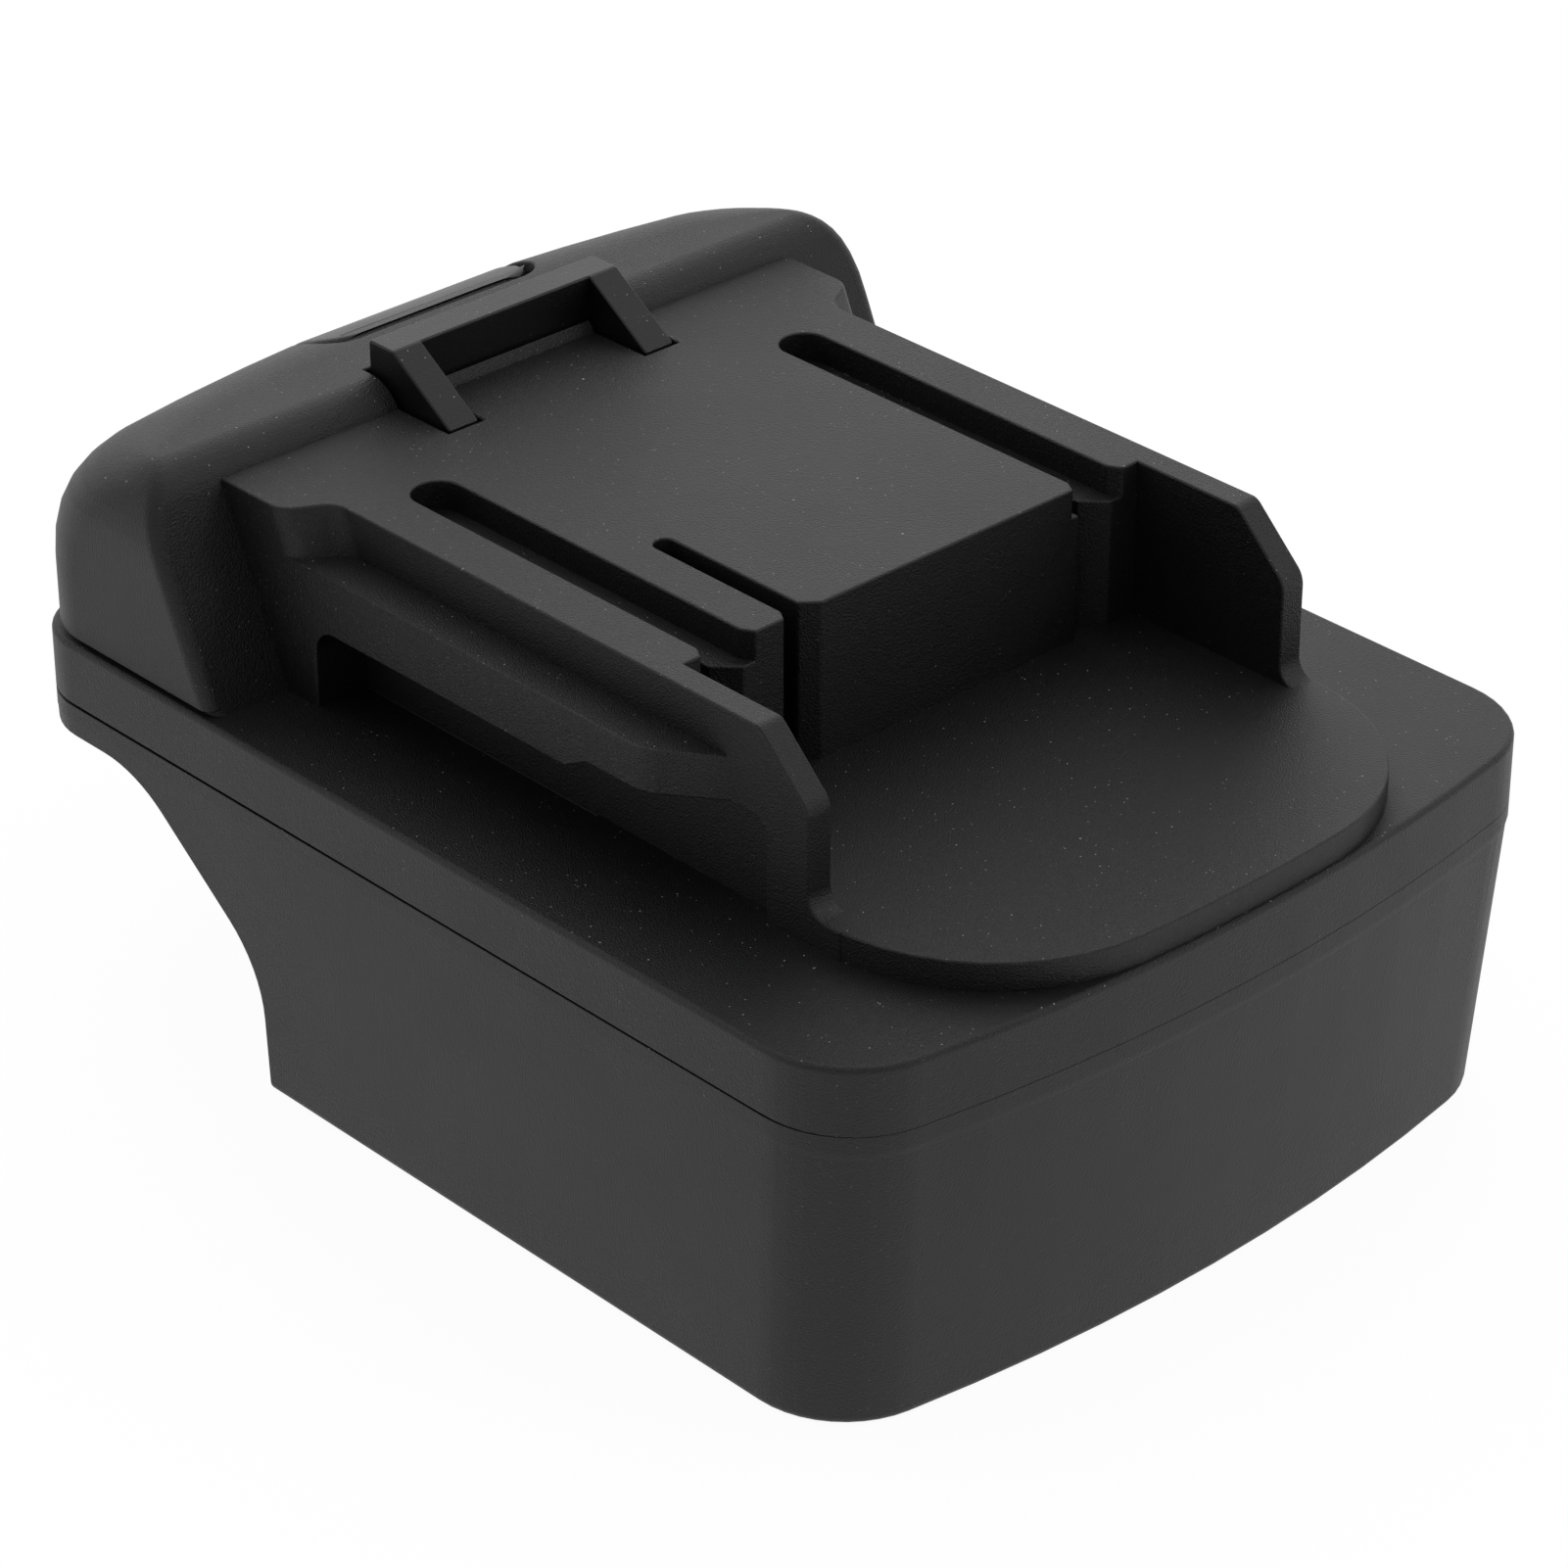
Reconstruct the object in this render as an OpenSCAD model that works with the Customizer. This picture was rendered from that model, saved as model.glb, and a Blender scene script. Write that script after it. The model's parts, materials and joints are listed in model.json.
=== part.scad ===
// Slide-on tool battery adapter: a dock for one battery below, slide rails for the tool above.
// X runs across, Y from the bowed front to the hump and button at the rear, Z up.
// The origin lies on the base plane under the middle of the body. Sizes are millimetres.

/* [Body] */
// Width across the long sides
body_w = 76; // [74:0.5:82]
// Length between the two bowed ends
body_l = 101.9; // [101:0.1:110]
// Radius of the bow of the front end
front_bow = 176; // [150:1:260]
// Radius of the bow of the rear end
rear_bow = 150; // [140:1:220]
// Radius of the upright front corners
corner_r = 8.7; // [7.5:0.1:10]
// Radius of the upright rear corners
rear_corner_r = 6.5; // [6:0.1:8]
// Height of the seam between the lower and the upper case
seam_h = 26.4; // [24:0.1:30]
// Width of the shadow gap at the seam
seam_gap = 0.25; // [0.15:0.05:0.4]
// Height of the deck above the seam
skirt_h = 5.7; // [5.6:0.1:7]
// Thickness of the deck
deck_t = 2.4; // [2:0.1:2.6]
// Wall of the upper case's skirt
skirt_wall = 2.8; // [2.2:0.1:3]
// Radius of the deck's outer edge
deck_edge_r = 0.5; // [0.4:0.1:1.4]
// How far the long sides lean in from the seam to the base
side_draft = 1; // [0.2:0.1:1.2]
// How far the front leans in from the seam to the base
front_draft = 1.8; // [0.4:0.1:2.2]
// Radius of the base edge
base_edge_r = 0.75; // [0.4:0.05:1]

/* [Rear cove] */
// Thickness of the overhang, below the seam
overhang_t = 2.9; // [2.7:0.1:3.4]
// Radius of the overhang's lower edge
overhang_edge_r = 1.5; // [0.5:0.1:2]
// Distance from the rear end to the upright rear edge of the side walls
cove_depth = 32.05; // [30:0.05:35]
// Height where the slope meets that upright edge
cove_knee_h = 11.5; // [9:0.1:12]
// Angle of the slope from the level
cove_angle = 40; // [36:0.5:46]
// Radius at the top of the slope
cove_upper_r = 11; // [6:0.5:12]
// Radius at the foot of the slope
cove_lower_r = 10; // [6:0.5:12]

/* [Hump] */
// Height of the hump's top above the deck
hump_rise = 17.7; // [16:0.1:20]
// Set-in of the hump from the skirt's outer face
hump_inset = 0.33; // [0.3:0.01:0.8]
// Height of the step groove between the skirt and the hump
hump_groove_h = 0.45; // [0.3:0.05:0.6]
// Depth of that groove
hump_groove_d = 0.6; // [0.4:0.05:0.8]
// Depth of the hump along the deck
hump_depth = 27.9; // [27:0.1:28.5]
// Lean of the hump's front face from the upright
hump_lean = 24.3; // [23:0.1:25]
// Radius between the front face and the top
hump_front_r = 3.6; // [3:0.1:4.5]
// Radius between the top and the rear face
hump_rear_r = 11.55; // [11:0.05:12.5]
// Width of the hump's oval side shoulders
hump_shoulder_w = 4.2; // [3.5:0.1:5]
// Height of the hump's oval side shoulders
hump_shoulder_h = 6.3; // [5.5:0.1:7]
// Radius of the upright rear corners
hump_corner_r = 5.7; // [4:0.1:7]
// Growth of that radius for each millimetre that the rear rounding draws in
hump_corner_grow = 0.4; // [0.2:0.1:1]
// Radius of the upright front edges
hump_edge_r = 1.2; // [0.8:0.1:1.5]
// Wall of the hump and of the block's top
cover_wall = 2.4; // [2.2:0.1:2.5]

/* [Slide block] */
// Height of the hump's top above the block's top
block_drop = 1.9; // [1.6:0.1:2.2]
// Distance from the front end to the block's front face
block_setback = 34.8; // [34.8:0.05:35.6]
// Width across the rail tops
rail_w = 52.4; // [52.4:0.1:53.4]
// Width across the flanges and the rear shoulders
flange_w = 60.1; // [59.4:0.1:61.6]
// Height of the rails above the flange's upper face
rail_h = 3.8; // [3.4:0.1:4.4]
// Thickness of the flange
flange_t = 5; // [4.6:0.05:5.4]
// Relief under the front of the flange
flange_relief = 1.3; // [0.6:0.05:1.6]
// Length of the relieved front part behind the block's front face
flange_relief_l = 6.25; // [5:0.05:8]
// Length of the ramp up into that relief
relief_ramp_l = 2.35; // [1.5:0.05:3]
// Distance that the flange runs in front of the block's front face
flange_nose = 2.25; // [1.5:0.05:3]
// Radius of the flange's front corner
flange_nose_r = 4; // [2:0.1:5]
// Width across the walls under the flanges
undercut_w = 50.2; // [50.2:0.1:50.8]
// Length of the undercut behind the block's front face
undercut_l = 35.45; // [34:0.05:36.5]
// Length of the undercut in front of the block's front face
undercut_front = 11.25; // [10:0.05:12]
// Radius at the front end of the undercut
undercut_front_r = 1.4; // [0.8:0.1:2]
// Radius at the closed end of the undercut
undercut_r = 2.3; // [1:0.1:3]
// Length of the straight rear shoulder from the block's front face
shoulder_l = 40.45; // [39:0.05:41]
// Angle of the curved step between shoulder and rail
notch_angle = 62; // [55:1:68]
// Radius of the two bends of that step
notch_r = 2.2; // [1.5:0.1:3]

/* [Fins and tongue] */
// Thickness of the two fins
fin_t = 2.4; // [2:0.05:2.5]
// Length of the fins in front of the block
fin_l = 15.6; // [15:0.1:16.5]
// Length of the fin's top edge
fin_top_l = 10.5; // [10:0.1:11.5]
// Angle of the fin's nose from the level
fin_angle = 43.5; // [40:0.5:50]
// Radius at the top of the fin's nose
fin_top_r = 1.2; // [0.5:0.1:2]
// Radius at the front of the fin's nose
fin_front_r = 2; // [1:0.1:3]
// Radius of the fillet at the fin's foot
fin_foot_r = 1.7; // [0.8:0.1:2]
// Thickness of the tongue plate
tongue_t = 2.4; // [2:0.1:2.6]
// Gap between the front edges of the tongue and the deck
tongue_setback = 0.5; // [0.3:0.05:1.2]
// Radius of the tongue's front corners
tongue_corner_r = 16.7; // [14:0.1:19]
// Radius of the tongue's upper edge
tongue_edge_r = 0.2; // [0.1:0.05:0.4]

/* [Contact slots] */
// Distance between the middles of the two wide slots
slot_pitch = 38.8; // [38.8:0.1:39.4]
// Width of the wide slots
slot_w = 4.2; // [4.1:0.05:4.5]
// Depth of the ledge in the wide slots
slot_depth = 2.5; // [2.2:0.1:2.8]
// Length of the wide slots
slot_l = 35.1; // [34:0.05:36]
// Width of the blade slots in the ledges
blade_slot_w = 1.6; // [1.4:0.05:1.8]
// Lead-in at the mouth of the blade slots
blade_lead_in = 1.9; // [1.2:0.1:2.2]
// Flare at the mouths of the wide slots
mouth_flare = 0.65; // [0.4:0.05:0.8]
// Depth of that flare
mouth_depth = 1.1; // [0.6:0.1:1.4]
// Distance of the signal slot from the middle
signal_slot_x = 12.3; // [12:0.1:12.6]
// Width of the signal slot
signal_slot_w = 1.8; // [1.6:0.05:2]
// Length of the signal slot
signal_slot_l = 15.7; // [15:0.05:16.5]
// Depth of the chamfer at the block's front corner beside the signal slot
block_chamfer = 1.2; // [0.5:0.1:1.6]
// Thickness of the block's front wall
front_wall = 7.5; // [7.2:0.1:7.8]
// Room at each side of a blade slot for its contact
pocket_side = 2.4; // [2.3:0.05:2.5]
// Material over the contacts' pockets, under the ledge
pocket_roof = 2; // [1.5:0.1:2.4]
// Depth of the pockets behind the front wall
pocket_l = 26; // [25.5:0.1:26.5]

/* [Latch] */
// Width of the hook
hook_w = 23.7; // [23:0.1:25]
// Width of each ramp
ramp_w = 3; // [2.6:0.1:3.4]
// Height of the hook above the hump
hook_rise = 2.6; // [2.2:0.1:3.2]
// Thickness of the hook's bar
bar_t = 2.95; // [2.8:0.05:3.4]
// Distance from the hump's front line to the bar
bar_setback = 1.05; // [0.7:0.05:1.3]
// Length of the ramps in front of the bar
ramp_l = 6.8; // [6:0.05:7]
// Width of the button
button_w = 22.5; // [21.5:0.1:23.5]
// Length of the button
button_l = 8.1; // [7.5:0.1:8.4]
// Distance from the rear end to the button's front edge
button_setback = 10.7; // [10.5:0.05:10.9]
// Height of the button above the hump
button_rise = -0.2; // [-0.4:0.1:0.6]
// Corner radius of the button
button_r = 2.6; // [1.5:0.1:3.5]
// Thickness of the latch's carrying plate
latch_plate_t = 2.8; // [2.4:0.1:3]
// Travel of the latch
latch_travel = 5; // [4.6:0.1:5.2]
// Clearance round the latch
latch_gap = 0.3; // [0.25:0.05:0.4]
// Gap in front of the button
button_front_gap = 0.9; // [0.6:0.05:1.1]

/* [Springs] */
// Distance between the two springs
spring_pitch = 15; // [13:0.5:17]
// Radius to the middle of the wire
spring_r = 2.8; // [2.6:0.1:3.2]
// Thickness of the wire
spring_wire = 0.7; // [0.6:0.05:0.8]
// Turns of each spring
spring_turns = 8; // [6:1:9]
// Gap between a spring's ends and its seats
spring_gap = 0.1; // [0.05:0.05:0.2]
// Radius of the pegs inside the springs
peg_r = 1.8; // [1.5:0.1:2]
// Height of those pegs
peg_h = 4; // [3:0.5:5]

/* [Dock] */
// Wall between the dock and the outside, at the base
dock_wall = 3.2; // [2.8:0.1:3.6]
// Thickness of the dock's ceiling
dock_roof_t = 3; // [2.8:0.1:3.2]
// Width of the guide rails inside the dock
dock_rail_w = 4.5; // [3:0.1:5]
// Height of the guide rails' lower face
dock_rail_h = 4; // [3:0.1:5]
// Thickness of the guide rails
dock_rail_t = 3.5; // [2.5:0.1:4]
// Length of the guide rails
dock_rail_l = 53; // [45:0.5:54]
// Width of the catch recess in the ceiling
catch_w = 18; // [12:0.5:22]
// Length of the catch recess
catch_l = 5; // [4:0.5:7]
// Depth of the catch recess
catch_d = 2; // [1.5:0.1:2.2]
// Distance from the rear edge of the side walls to the catch recess
catch_setback = 10; // [6:0.5:14]

/* [Input terminals] */
// Width of the terminal block
term_w = 42; // [40:0.5:44]
// Length of the terminal block
term_l = 14; // [13:0.5:15]
// Height of the terminal block
term_h = 9.5; // [9:0.1:10.5]
// Distance between neighbouring blades
blade_pitch = 11; // [10:0.25:12]
// Thickness of the blades
blade_t = 0.8; // [0.6:0.1:1]
// Height of the blades
blade_h = 6.3; // [5.5:0.1:6.8]
// Length of the blades in front of their block
blade_l = 14; // [10:0.5:16]
// Height of the signal blade
signal_blade_h = 4.8; // [4:0.1:5.5]
// Width of the risers that pass up into the board
riser_w = 4; // [3:0.1:4.4]

/* [Board] */
// Width of the circuit board
board_w = 46; // [45:0.5:47]
// Length of the circuit board
board_l = 24; // [23:0.5:25]
// Thickness of the circuit board
board_t = 1.6; // [1.2:0.1:1.8]
// Height of the room for the board, below the seam
board_room = 4.4; // [4.3:0.1:5]
// Height of the board above the dock's roof
board_stand = 2.2; // [2.1:0.05:2.4]
// Width of the control chip
chip_w = 7; // [6:0.5:8]
// Length of the control chip
chip_l = 6; // [5:0.5:6]
// Height of the control chip
chip_h = 1.3; // [1:0.1:1.8]
// Width of a power transistor
transistor_w = 6.6; // [6:0.1:7]
// Length of a power transistor
transistor_l = 6.2; // [5.5:0.1:6.5]
// Height of a power transistor
transistor_h = 2.3; // [2:0.1:2.6]
// Distance between the two power transistors
transistor_pitch = 8; // [7.5:0.1:8.5]
// Length of a resistor
resistor_l = 3.2; // [2:0.1:3.4]
// Height of the capacitor
capacitor_h = 3.4; // [2.5:0.1:3.6]
// Radius of the capacitor
capacitor_r = 2.6; // [2:0.1:3]

/* [Output contacts] */
// Thickness of the contact sheet
contact_t = 0.7; // [0.5:0.05:0.8]
// Length of the two power contacts
contact_l = 22; // [20:0.5:24]
// Length of the signal contact
signal_contact_l = 7; // [6:0.25:7.5]
// Half of the gap where a contact grips its blade
contact_pinch = 0.55; // [0.4:0.05:0.7]
// Half of the width at the signal contact's root
signal_contact_root = 1.2; // [1:0.05:1.3]
// Half of the width at a power contact's root
contact_root = 1.7; // [1.5:0.05:1.8]
// Thickness of the carrier plate under the contacts
carrier_t = 3; // [2.6:0.1:3.2]
// Length of the solder tails below the carrier
tail_out = 2.4; // [2:0.1:2.8]
// Length of the solder tails along the slots
tail_l = 4; // [3:0.25:5]
// Radius of the two power leads
lead_r = 1.2; // [0.8:0.1:1.3]
// Radius of the signal lead
signal_lead_r = 0.7; // [0.5:0.1:0.9]

/* [Screws] */
// Radius of the case screws
screw_r = 1.5; // [1.3:0.05:1.6]
// Radius of their heads
screw_head_r = 2.75; // [2.5:0.05:2.9]
// Height of their heads
screw_head_h = 1.7; // [1.5:0.1:1.8]
// Radius of the small screws
small_screw_r = 1; // [0.9:0.05:1.1]
// Radius of the small heads
small_head_r = 1.8; // [1.6:0.05:1.9]
// Height of the small heads
small_head_h = 1.2; // [1:0.1:1.3]
// Radial clearance round a screw in its hole
screw_gap = 0.08; // [0.05:0.01:0.15]
// Material round a screw
boss_wall = 1.8; // [1.5:0.1:2]
// Length that a screw bites into its boss
screw_bite = 4; // [3.5:0.1:4.2]

/* [Hidden] */
$fn = 32;

// Overlap that makes cuts run clear of the faces they cut, and the hair and lap of close cuts
over = 1;
hair = 0.01;
lap = 0.05;
// Smallest corner that an inset leaves, how the hump's rings crowd towards its top, and the board room's reach
least_r = 1;
hump_crowding = 1.6;
room_over_cove = 5;
// Clearance between fixed pieces that slip into one another
slip = 0.15;
// Steps in each round corner, each bow and the hump's rounding
corner_steps = 10;
bow_steps = 10;
edge_steps = 4;
hump_steps = 12;

// Colours
case_black = [0.07, 0.07, 0.075];
latch_black = [0.1, 0.1, 0.105];
inner_black = [0.16, 0.16, 0.17];
brass = [0.78, 0.62, 0.3];
nickel = [0.72, 0.71, 0.68];
steel = [0.55, 0.56, 0.58];
board_green = [0.07, 0.33, 0.17];
chip_black = [0.05, 0.05, 0.06];
lead_red = [0.62, 0.07, 0.06];
lead_blue = [0.1, 0.16, 0.5];
lead_white = [0.85, 0.85, 0.82];

// Heights, each from the one that carries it
deck_h = seam_h + skirt_h;
deck_under = deck_h - deck_t;
overhang_h = seam_h - overhang_t;
hump_h = deck_h + hump_rise;
block_top = hump_h - block_drop;
hook_top = hump_h + hook_rise;
flange_top = block_top - rail_h;
tongue_top = deck_h + tongue_t;
ledge_h = block_top - slot_depth;
pocket_top = ledge_h - pocket_roof;
roof_top = seam_h - board_room;
dock_h = roof_top - dock_roof_t;
tray_depth = 0.4;
tray_floor = seam_h - tray_depth;
joint_rise = 1.1;
boss_joint = seam_h + joint_rise;

// Shares of the hump's depth that its front edges and its rear corners take at most
hump_edge_share = 0.12;
hump_corner_share = 0.85;

// Places along the body
front_y = -body_l / 2;
rear_y = body_l / 2;
block_front_y = front_y + block_setback;
cove_wall_y = rear_y - cove_depth;
hump_foot_y = rear_y - hump_depth;
hump_line_y = hump_foot_y + (block_top - deck_h) * tan(hump_lean);
undercut_y = block_front_y + undercut_l;
shoulder_y = block_front_y + shoulder_l;
slot_rear_y = block_front_y + slot_l;
pocket_y = block_front_y + front_wall;
pocket_rear_y = pocket_y + pocket_l;

// Seat between the cases, and the opening in the deck under the cover
seat_wall = 4.2;
seat_in = 0.8;
lip_h = 0.9;
opening_side = 0.3;
opening_step = 0.55;
opening_rear_wall = 6.2;
opening_w = undercut_w + 2 * opening_side;
opening_front_y = pocket_y + opening_step;
opening_rear_y = rear_y - opening_rear_wall;

// Slots: the blade slot lies on the -X side of each wide slot
blade_slot_in = 0.95;
blade_slot_offset = blade_slot_in - slot_w / 2;
signal_x = -signal_slot_x;
signal_pocket_side = 1.4;
hollow_signal_wall = 3.6;
hollow_power_wall = 2.2;
chamfer_slant = 1.2;
nose_slant = 1.35;
relief_r = 1;

// Latch
bar_front_y = hump_line_y + bar_setback;
bar_rear_y = bar_front_y + bar_t;
ramp_front_y = bar_front_y - ramp_l;
button_front_y = rear_y - button_setback;
button_rear_y = button_front_y + button_l;
latch_plate_top = hump_h - cover_wall - 3 * latch_gap;
latch_plate_under = latch_plate_top - latch_plate_t;
ramp_under = block_top - cover_wall - over;
well_front = 1.2;
well_side = 1.1;
well_front_y = ramp_front_y - well_front;
well_w = hook_w + 2 * well_side;

// Springs
spring_setback = 4.5;
spring_y = bar_rear_y + spring_setback;
spring_low = tray_floor + spring_gap + spring_wire / 2;
spring_high = latch_plate_under - spring_gap - spring_wire / 2;

// Dock
dock_half = body_w / 2 - side_draft - dock_wall;
dock_front_y = front_y + front_draft + dock_wall;
rail_setback = 1.5;
rail_rear_y = cove_wall_y - rail_setback;
catch_rear_y = cove_wall_y - catch_setback;

// Input terminals
term_front_y = dock_front_y + slip;
term_rear_y = term_front_y + term_l;
blade_rise = 2;
blade_low = dock_h - term_h + blade_rise;
riser_setback = 3.3;
riser_front_y = term_front_y + riser_setback;
riser_stub = 0.8;
blade_gap = 0.08;

// Board and the places of what it carries
board_setback = 7;
board_front_y = front_y + board_setback;
board_rear_y = board_front_y + board_l;
board_low = roof_top + board_stand;
board_top = board_low + board_t;
chip_x = 3;
chip_y = 2;
leg_pitch = 1.27;
leg_w = 0.4;
leg_h = 0.5;
leg_out = 0.9;
transistor_x = -11;
transistor_y = -1;
tab_w = 5.4;
tab_l = 1.6;
tab_h = 0.6;
resistor_x = 9.5;
resistor_y = -4;
resistor_pitch = 2.6;
resistor_w = 1.6;
resistor_h = 0.6;
capacitor_x = 17;
capacitor_y = -1.5;

// Contacts and their carrier
contact_setback = 0.5;
contact_y = pocket_y + contact_setback;
contact_head_room = 0.4;
contact_h = pocket_top - deck_h - contact_head_room;
contact_grip = 6;
contact_taper = 3;
contact_mouth = 1.6;
contact_flare = 0.7;
carrier_under = deck_h - carrier_t;
carrier_front_y = opening_front_y + slip;
carrier_rear_y = well_front_y - slip;
tail_setback = 1;
tail_y = contact_y + tail_setback;
tail_low = carrier_under - tail_out;

// Places of the screws
head_sink = 0.3;
tip_room = 1;
case_tip_room = 0.1;
case_screw_side = 9.5;
case_screw_front = 11.2;
case_screw_rear = 11;
case_screw_x = body_w / 2 - case_screw_side;
case_screw_front_y = front_y + case_screw_front;
case_screw_rear_y = rear_y - case_screw_rear;
cover_screw_in = 3;
cover_screw_back = 9.6;
cover_rear_screw = [body_w / 2 - hump_inset - cover_wall - cover_screw_in, hump_foot_y + cover_screw_back];
block_mid_x = (slot_pitch / 2 - slot_w / 2 + signal_x + signal_slot_w / 2) / 2;
cover_screw_reach = 7;
cover_front_screw_y = block_front_y + front_wall / 2;
cover_screw_places = [
    [block_mid_x - cover_screw_reach, cover_front_screw_y],
    [block_mid_x + cover_screw_reach, cover_front_screw_y],
    [cover_rear_screw.x, cover_rear_screw.y],
    [-cover_rear_screw.x, cover_rear_screw.y]
];
strip_mid_x = -(slot_pitch / 2 - slot_w / 2 + signal_slot_x + signal_slot_w / 2) / 2;
carrier_screw_in = 5;
carrier_rear_screw_y = pocket_rear_y + (well_front_y - pocket_rear_y) / 2;
carrier_screw_places = [
    [strip_mid_x, pocket_y + carrier_screw_in],
    [slot_pitch / 2, carrier_rear_screw_y],
    [-slot_pitch / 2, carrier_rear_screw_y]
];
post_in = 3;
post_depth = 1.6;
post_screw_bite = 1.4;
board_post = [board_w / 2 - post_in, board_l / 2 - post_in];
board_mid_y = (board_front_y + board_rear_y) / 2;
block_screw_side = 4;
block_screw_rear = 5;
block_screw = [term_w / 2 - block_screw_side, term_rear_y - block_screw_rear];

// Routes of the leads, from the board's pads to the contacts' tails
lead_lift = 0.05;
tail_mid = (tail_low + carrier_under) / 2 - 2 * lead_lift;
power_x = slot_pitch / 2 + blade_slot_offset;
power_x_left = -slot_pitch / 2 + blade_slot_offset;
lead_low = board_top + lead_r + lead_lift;
positive_route = [
    [14, board_rear_y - 6, lead_low], [14, board_rear_y - 1, lead_low],
    [14.6, board_rear_y + 3, lead_low + 0.2], [16.2, tail_y - 6.5, tail_mid],
    [power_x, tail_y - 2.5, tail_mid], [power_x, tail_y, tail_mid]
];
negative_route = [
    [-16, board_rear_y - 6, lead_low], [-16, board_rear_y - 1, lead_low],
    [-16.6, board_rear_y + 3, lead_low + 0.2], [-18.6, tail_y - 6.5, tail_mid],
    [power_x_left, tail_y - 2.5, tail_mid], [power_x_left, tail_y, tail_mid]
];
signal_low = board_top + signal_lead_r + lead_lift;
signal_route = [
    [-6, board_rear_y - 5, signal_low], [-6, board_rear_y, signal_low],
    [-7.5, board_rear_y + 4, signal_low + 0.6], [-10.8, tail_y - 4.5, tail_mid],
    [signal_x, tail_y - 1.8, tail_mid], [signal_x, tail_y, tail_mid]
];

// Points of an arc that rounds the corner b between the legs to a and c
function unit(v) = v / norm(v);
function round_corner(a, b, c, r, steps = 8) =
    let (u = unit(a - b), v = unit(c - b), half = acos(u * v) / 2, reach = r / tan(half),
         middle = b + unit(u + v) * r / sin(half), from = b + u * reach - middle,
         start = atan2(from.y, from.x), way = cross(from, b + v * reach - middle) > 0 ? 1 : -1)
    [for (i = [0 : steps])
        let (t = start + way * (180 - 2 * half) * i / steps)
        middle + r * [cos(t), sin(t)]];

// A polygon's points with each corner rounded by its own radius, or left sharp at 0
function rounded(points, radii) =
    let (n = len(points))
    [for (i = [0 : n - 1]) each radii[i] > 0
        ? round_corner(points[(i + n - 1) % n], points[i], points[(i + 1) % n], radii[i]) : [points[i]]];

// One bowed end with its two round corners, from +X to -X, reaching to +Y
function end_arc(half_w, reach, r, bow) =
    let (cx = half_w - r, bow_y = reach - bow, cy = bow_y + sqrt(pow(bow - r, 2) - cx * cx),
         turn = atan2(cy - bow_y, cx))
    concat(
        [for (i = [0 : corner_steps]) let (t = turn * i / corner_steps) [cx + r * cos(t), cy + r * sin(t)]],
        [for (i = [1 : bow_steps - 1]) let (t = turn + (180 - 2 * turn) * i / bow_steps)
            [bow * cos(t), bow_y + bow * sin(t)]],
        [for (i = [0 : corner_steps]) let (t = 180 - turn + turn * i / corner_steps)
            [-cx + r * cos(t), cy + r * sin(t)]]);

// The body's plan: both ends bowed, drawn in by an inset
function body_plan(inset, lean_side = 0, lean_front = 0) =
    let (half_w = body_w / 2 - inset - lean_side, reach = body_l / 2 - inset,
         rear_r = max(rear_corner_r - inset, least_r), front_r = max(corner_r - inset, least_r))
    concat(end_arc(half_w, reach, rear_r, rear_bow),
           [for (p = end_arc(half_w, reach - lean_front, front_r, front_bow)) -p]);

// The plan as a ring of points at a height
function ring(points, z) = [for (p = points) [p.x, p.y, z]];

// How far an edge of radius r has drawn in, at the step's angle from its top
function edge_in(r, t) = r * (1 - sin(t));
function edge_up(r, t) = r * (1 - cos(t));

// Half width, rear and front of the hump at a height, drawn in by a wall
function hump_half(z, wall, set_in) =
    let (w = max(hump_shoulder_w - wall, lap), h = max(hump_shoulder_h - wall, lap),
         up = max(z - (hump_h - wall - h), 0) / h)
    body_w / 2 - set_in - wall - w + w * sqrt(max(1 - up * up, 0));
function hump_rear(z, wall, set_in) =
    let (r = hump_rear_r - wall, up = max(z - (hump_h - wall - r), 0))
    rear_y - set_in - wall - r + sqrt(max(r * r - up * up, 0));
function hump_front(z, wall) =
    let (r = hump_front_r - wall, top = hump_h - wall, reach = r * tan(45 - hump_lean / 2),
         foot = hump_foot_y + wall / cos(hump_lean), corner_y = foot + (top - deck_h) * tan(hump_lean))
    z < top - reach * cos(hump_lean)
        ? foot + (z - deck_h) * tan(hump_lean)
        : corner_y + reach - sqrt(max(r * r - pow(z - top + r, 2), 0));
// The bow of the hump's rear, and that end with its two oval corners, from +X to -X
function hump_bow(x, rear) = rear - rear_bow + sqrt(rear_bow * rear_bow - x * x);
function hump_end(half_w, rear, corner_w, corner_l) =
    let (reach = half_w - corner_w,
         corner = [for (i = [0 : corner_steps])
             let (t = 90 * i / corner_steps, x = reach + corner_w * cos(t))
             [x, hump_bow(x, rear) - corner_l * (1 - sin(t))]])
    concat(
        corner,
        [for (i = [1 : bow_steps - 1]) let (x = reach - 2 * reach * i / bow_steps) [x, hump_bow(x, rear)]],
        [for (i = [corner_steps : -1 : 0]) [-corner[i].x, corner[i].y]]);
// The whole plan: front edges, then the rear end
function hump_plan(z, wall, set_in) =
    let (half_w = hump_half(z, wall, set_in), rear = hump_rear(z, wall, set_in), front = hump_front(z, wall),
         depth = hump_bow(half_w, rear) - front,
         drawn_in = rear_y - set_in - wall - rear,
         corner = max(hump_corner_r + hump_corner_grow * drawn_in - wall, least_r),
         edge = min(hump_edge_r, hump_edge_share * depth))
    concat(
        [for (i = [0 : edge_steps]) let (t = -90 + 90 * i / edge_steps)
            [half_w - edge + edge * cos(t), front + edge + edge * sin(t)]],
        hump_end(half_w, rear, corner, min(corner, hump_corner_share * depth)),
        [for (i = [0 : edge_steps]) let (t = 180 + 90 * i / edge_steps)
            [-half_w + edge + edge * cos(t), front + edge + edge * sin(t)]]);

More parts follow.
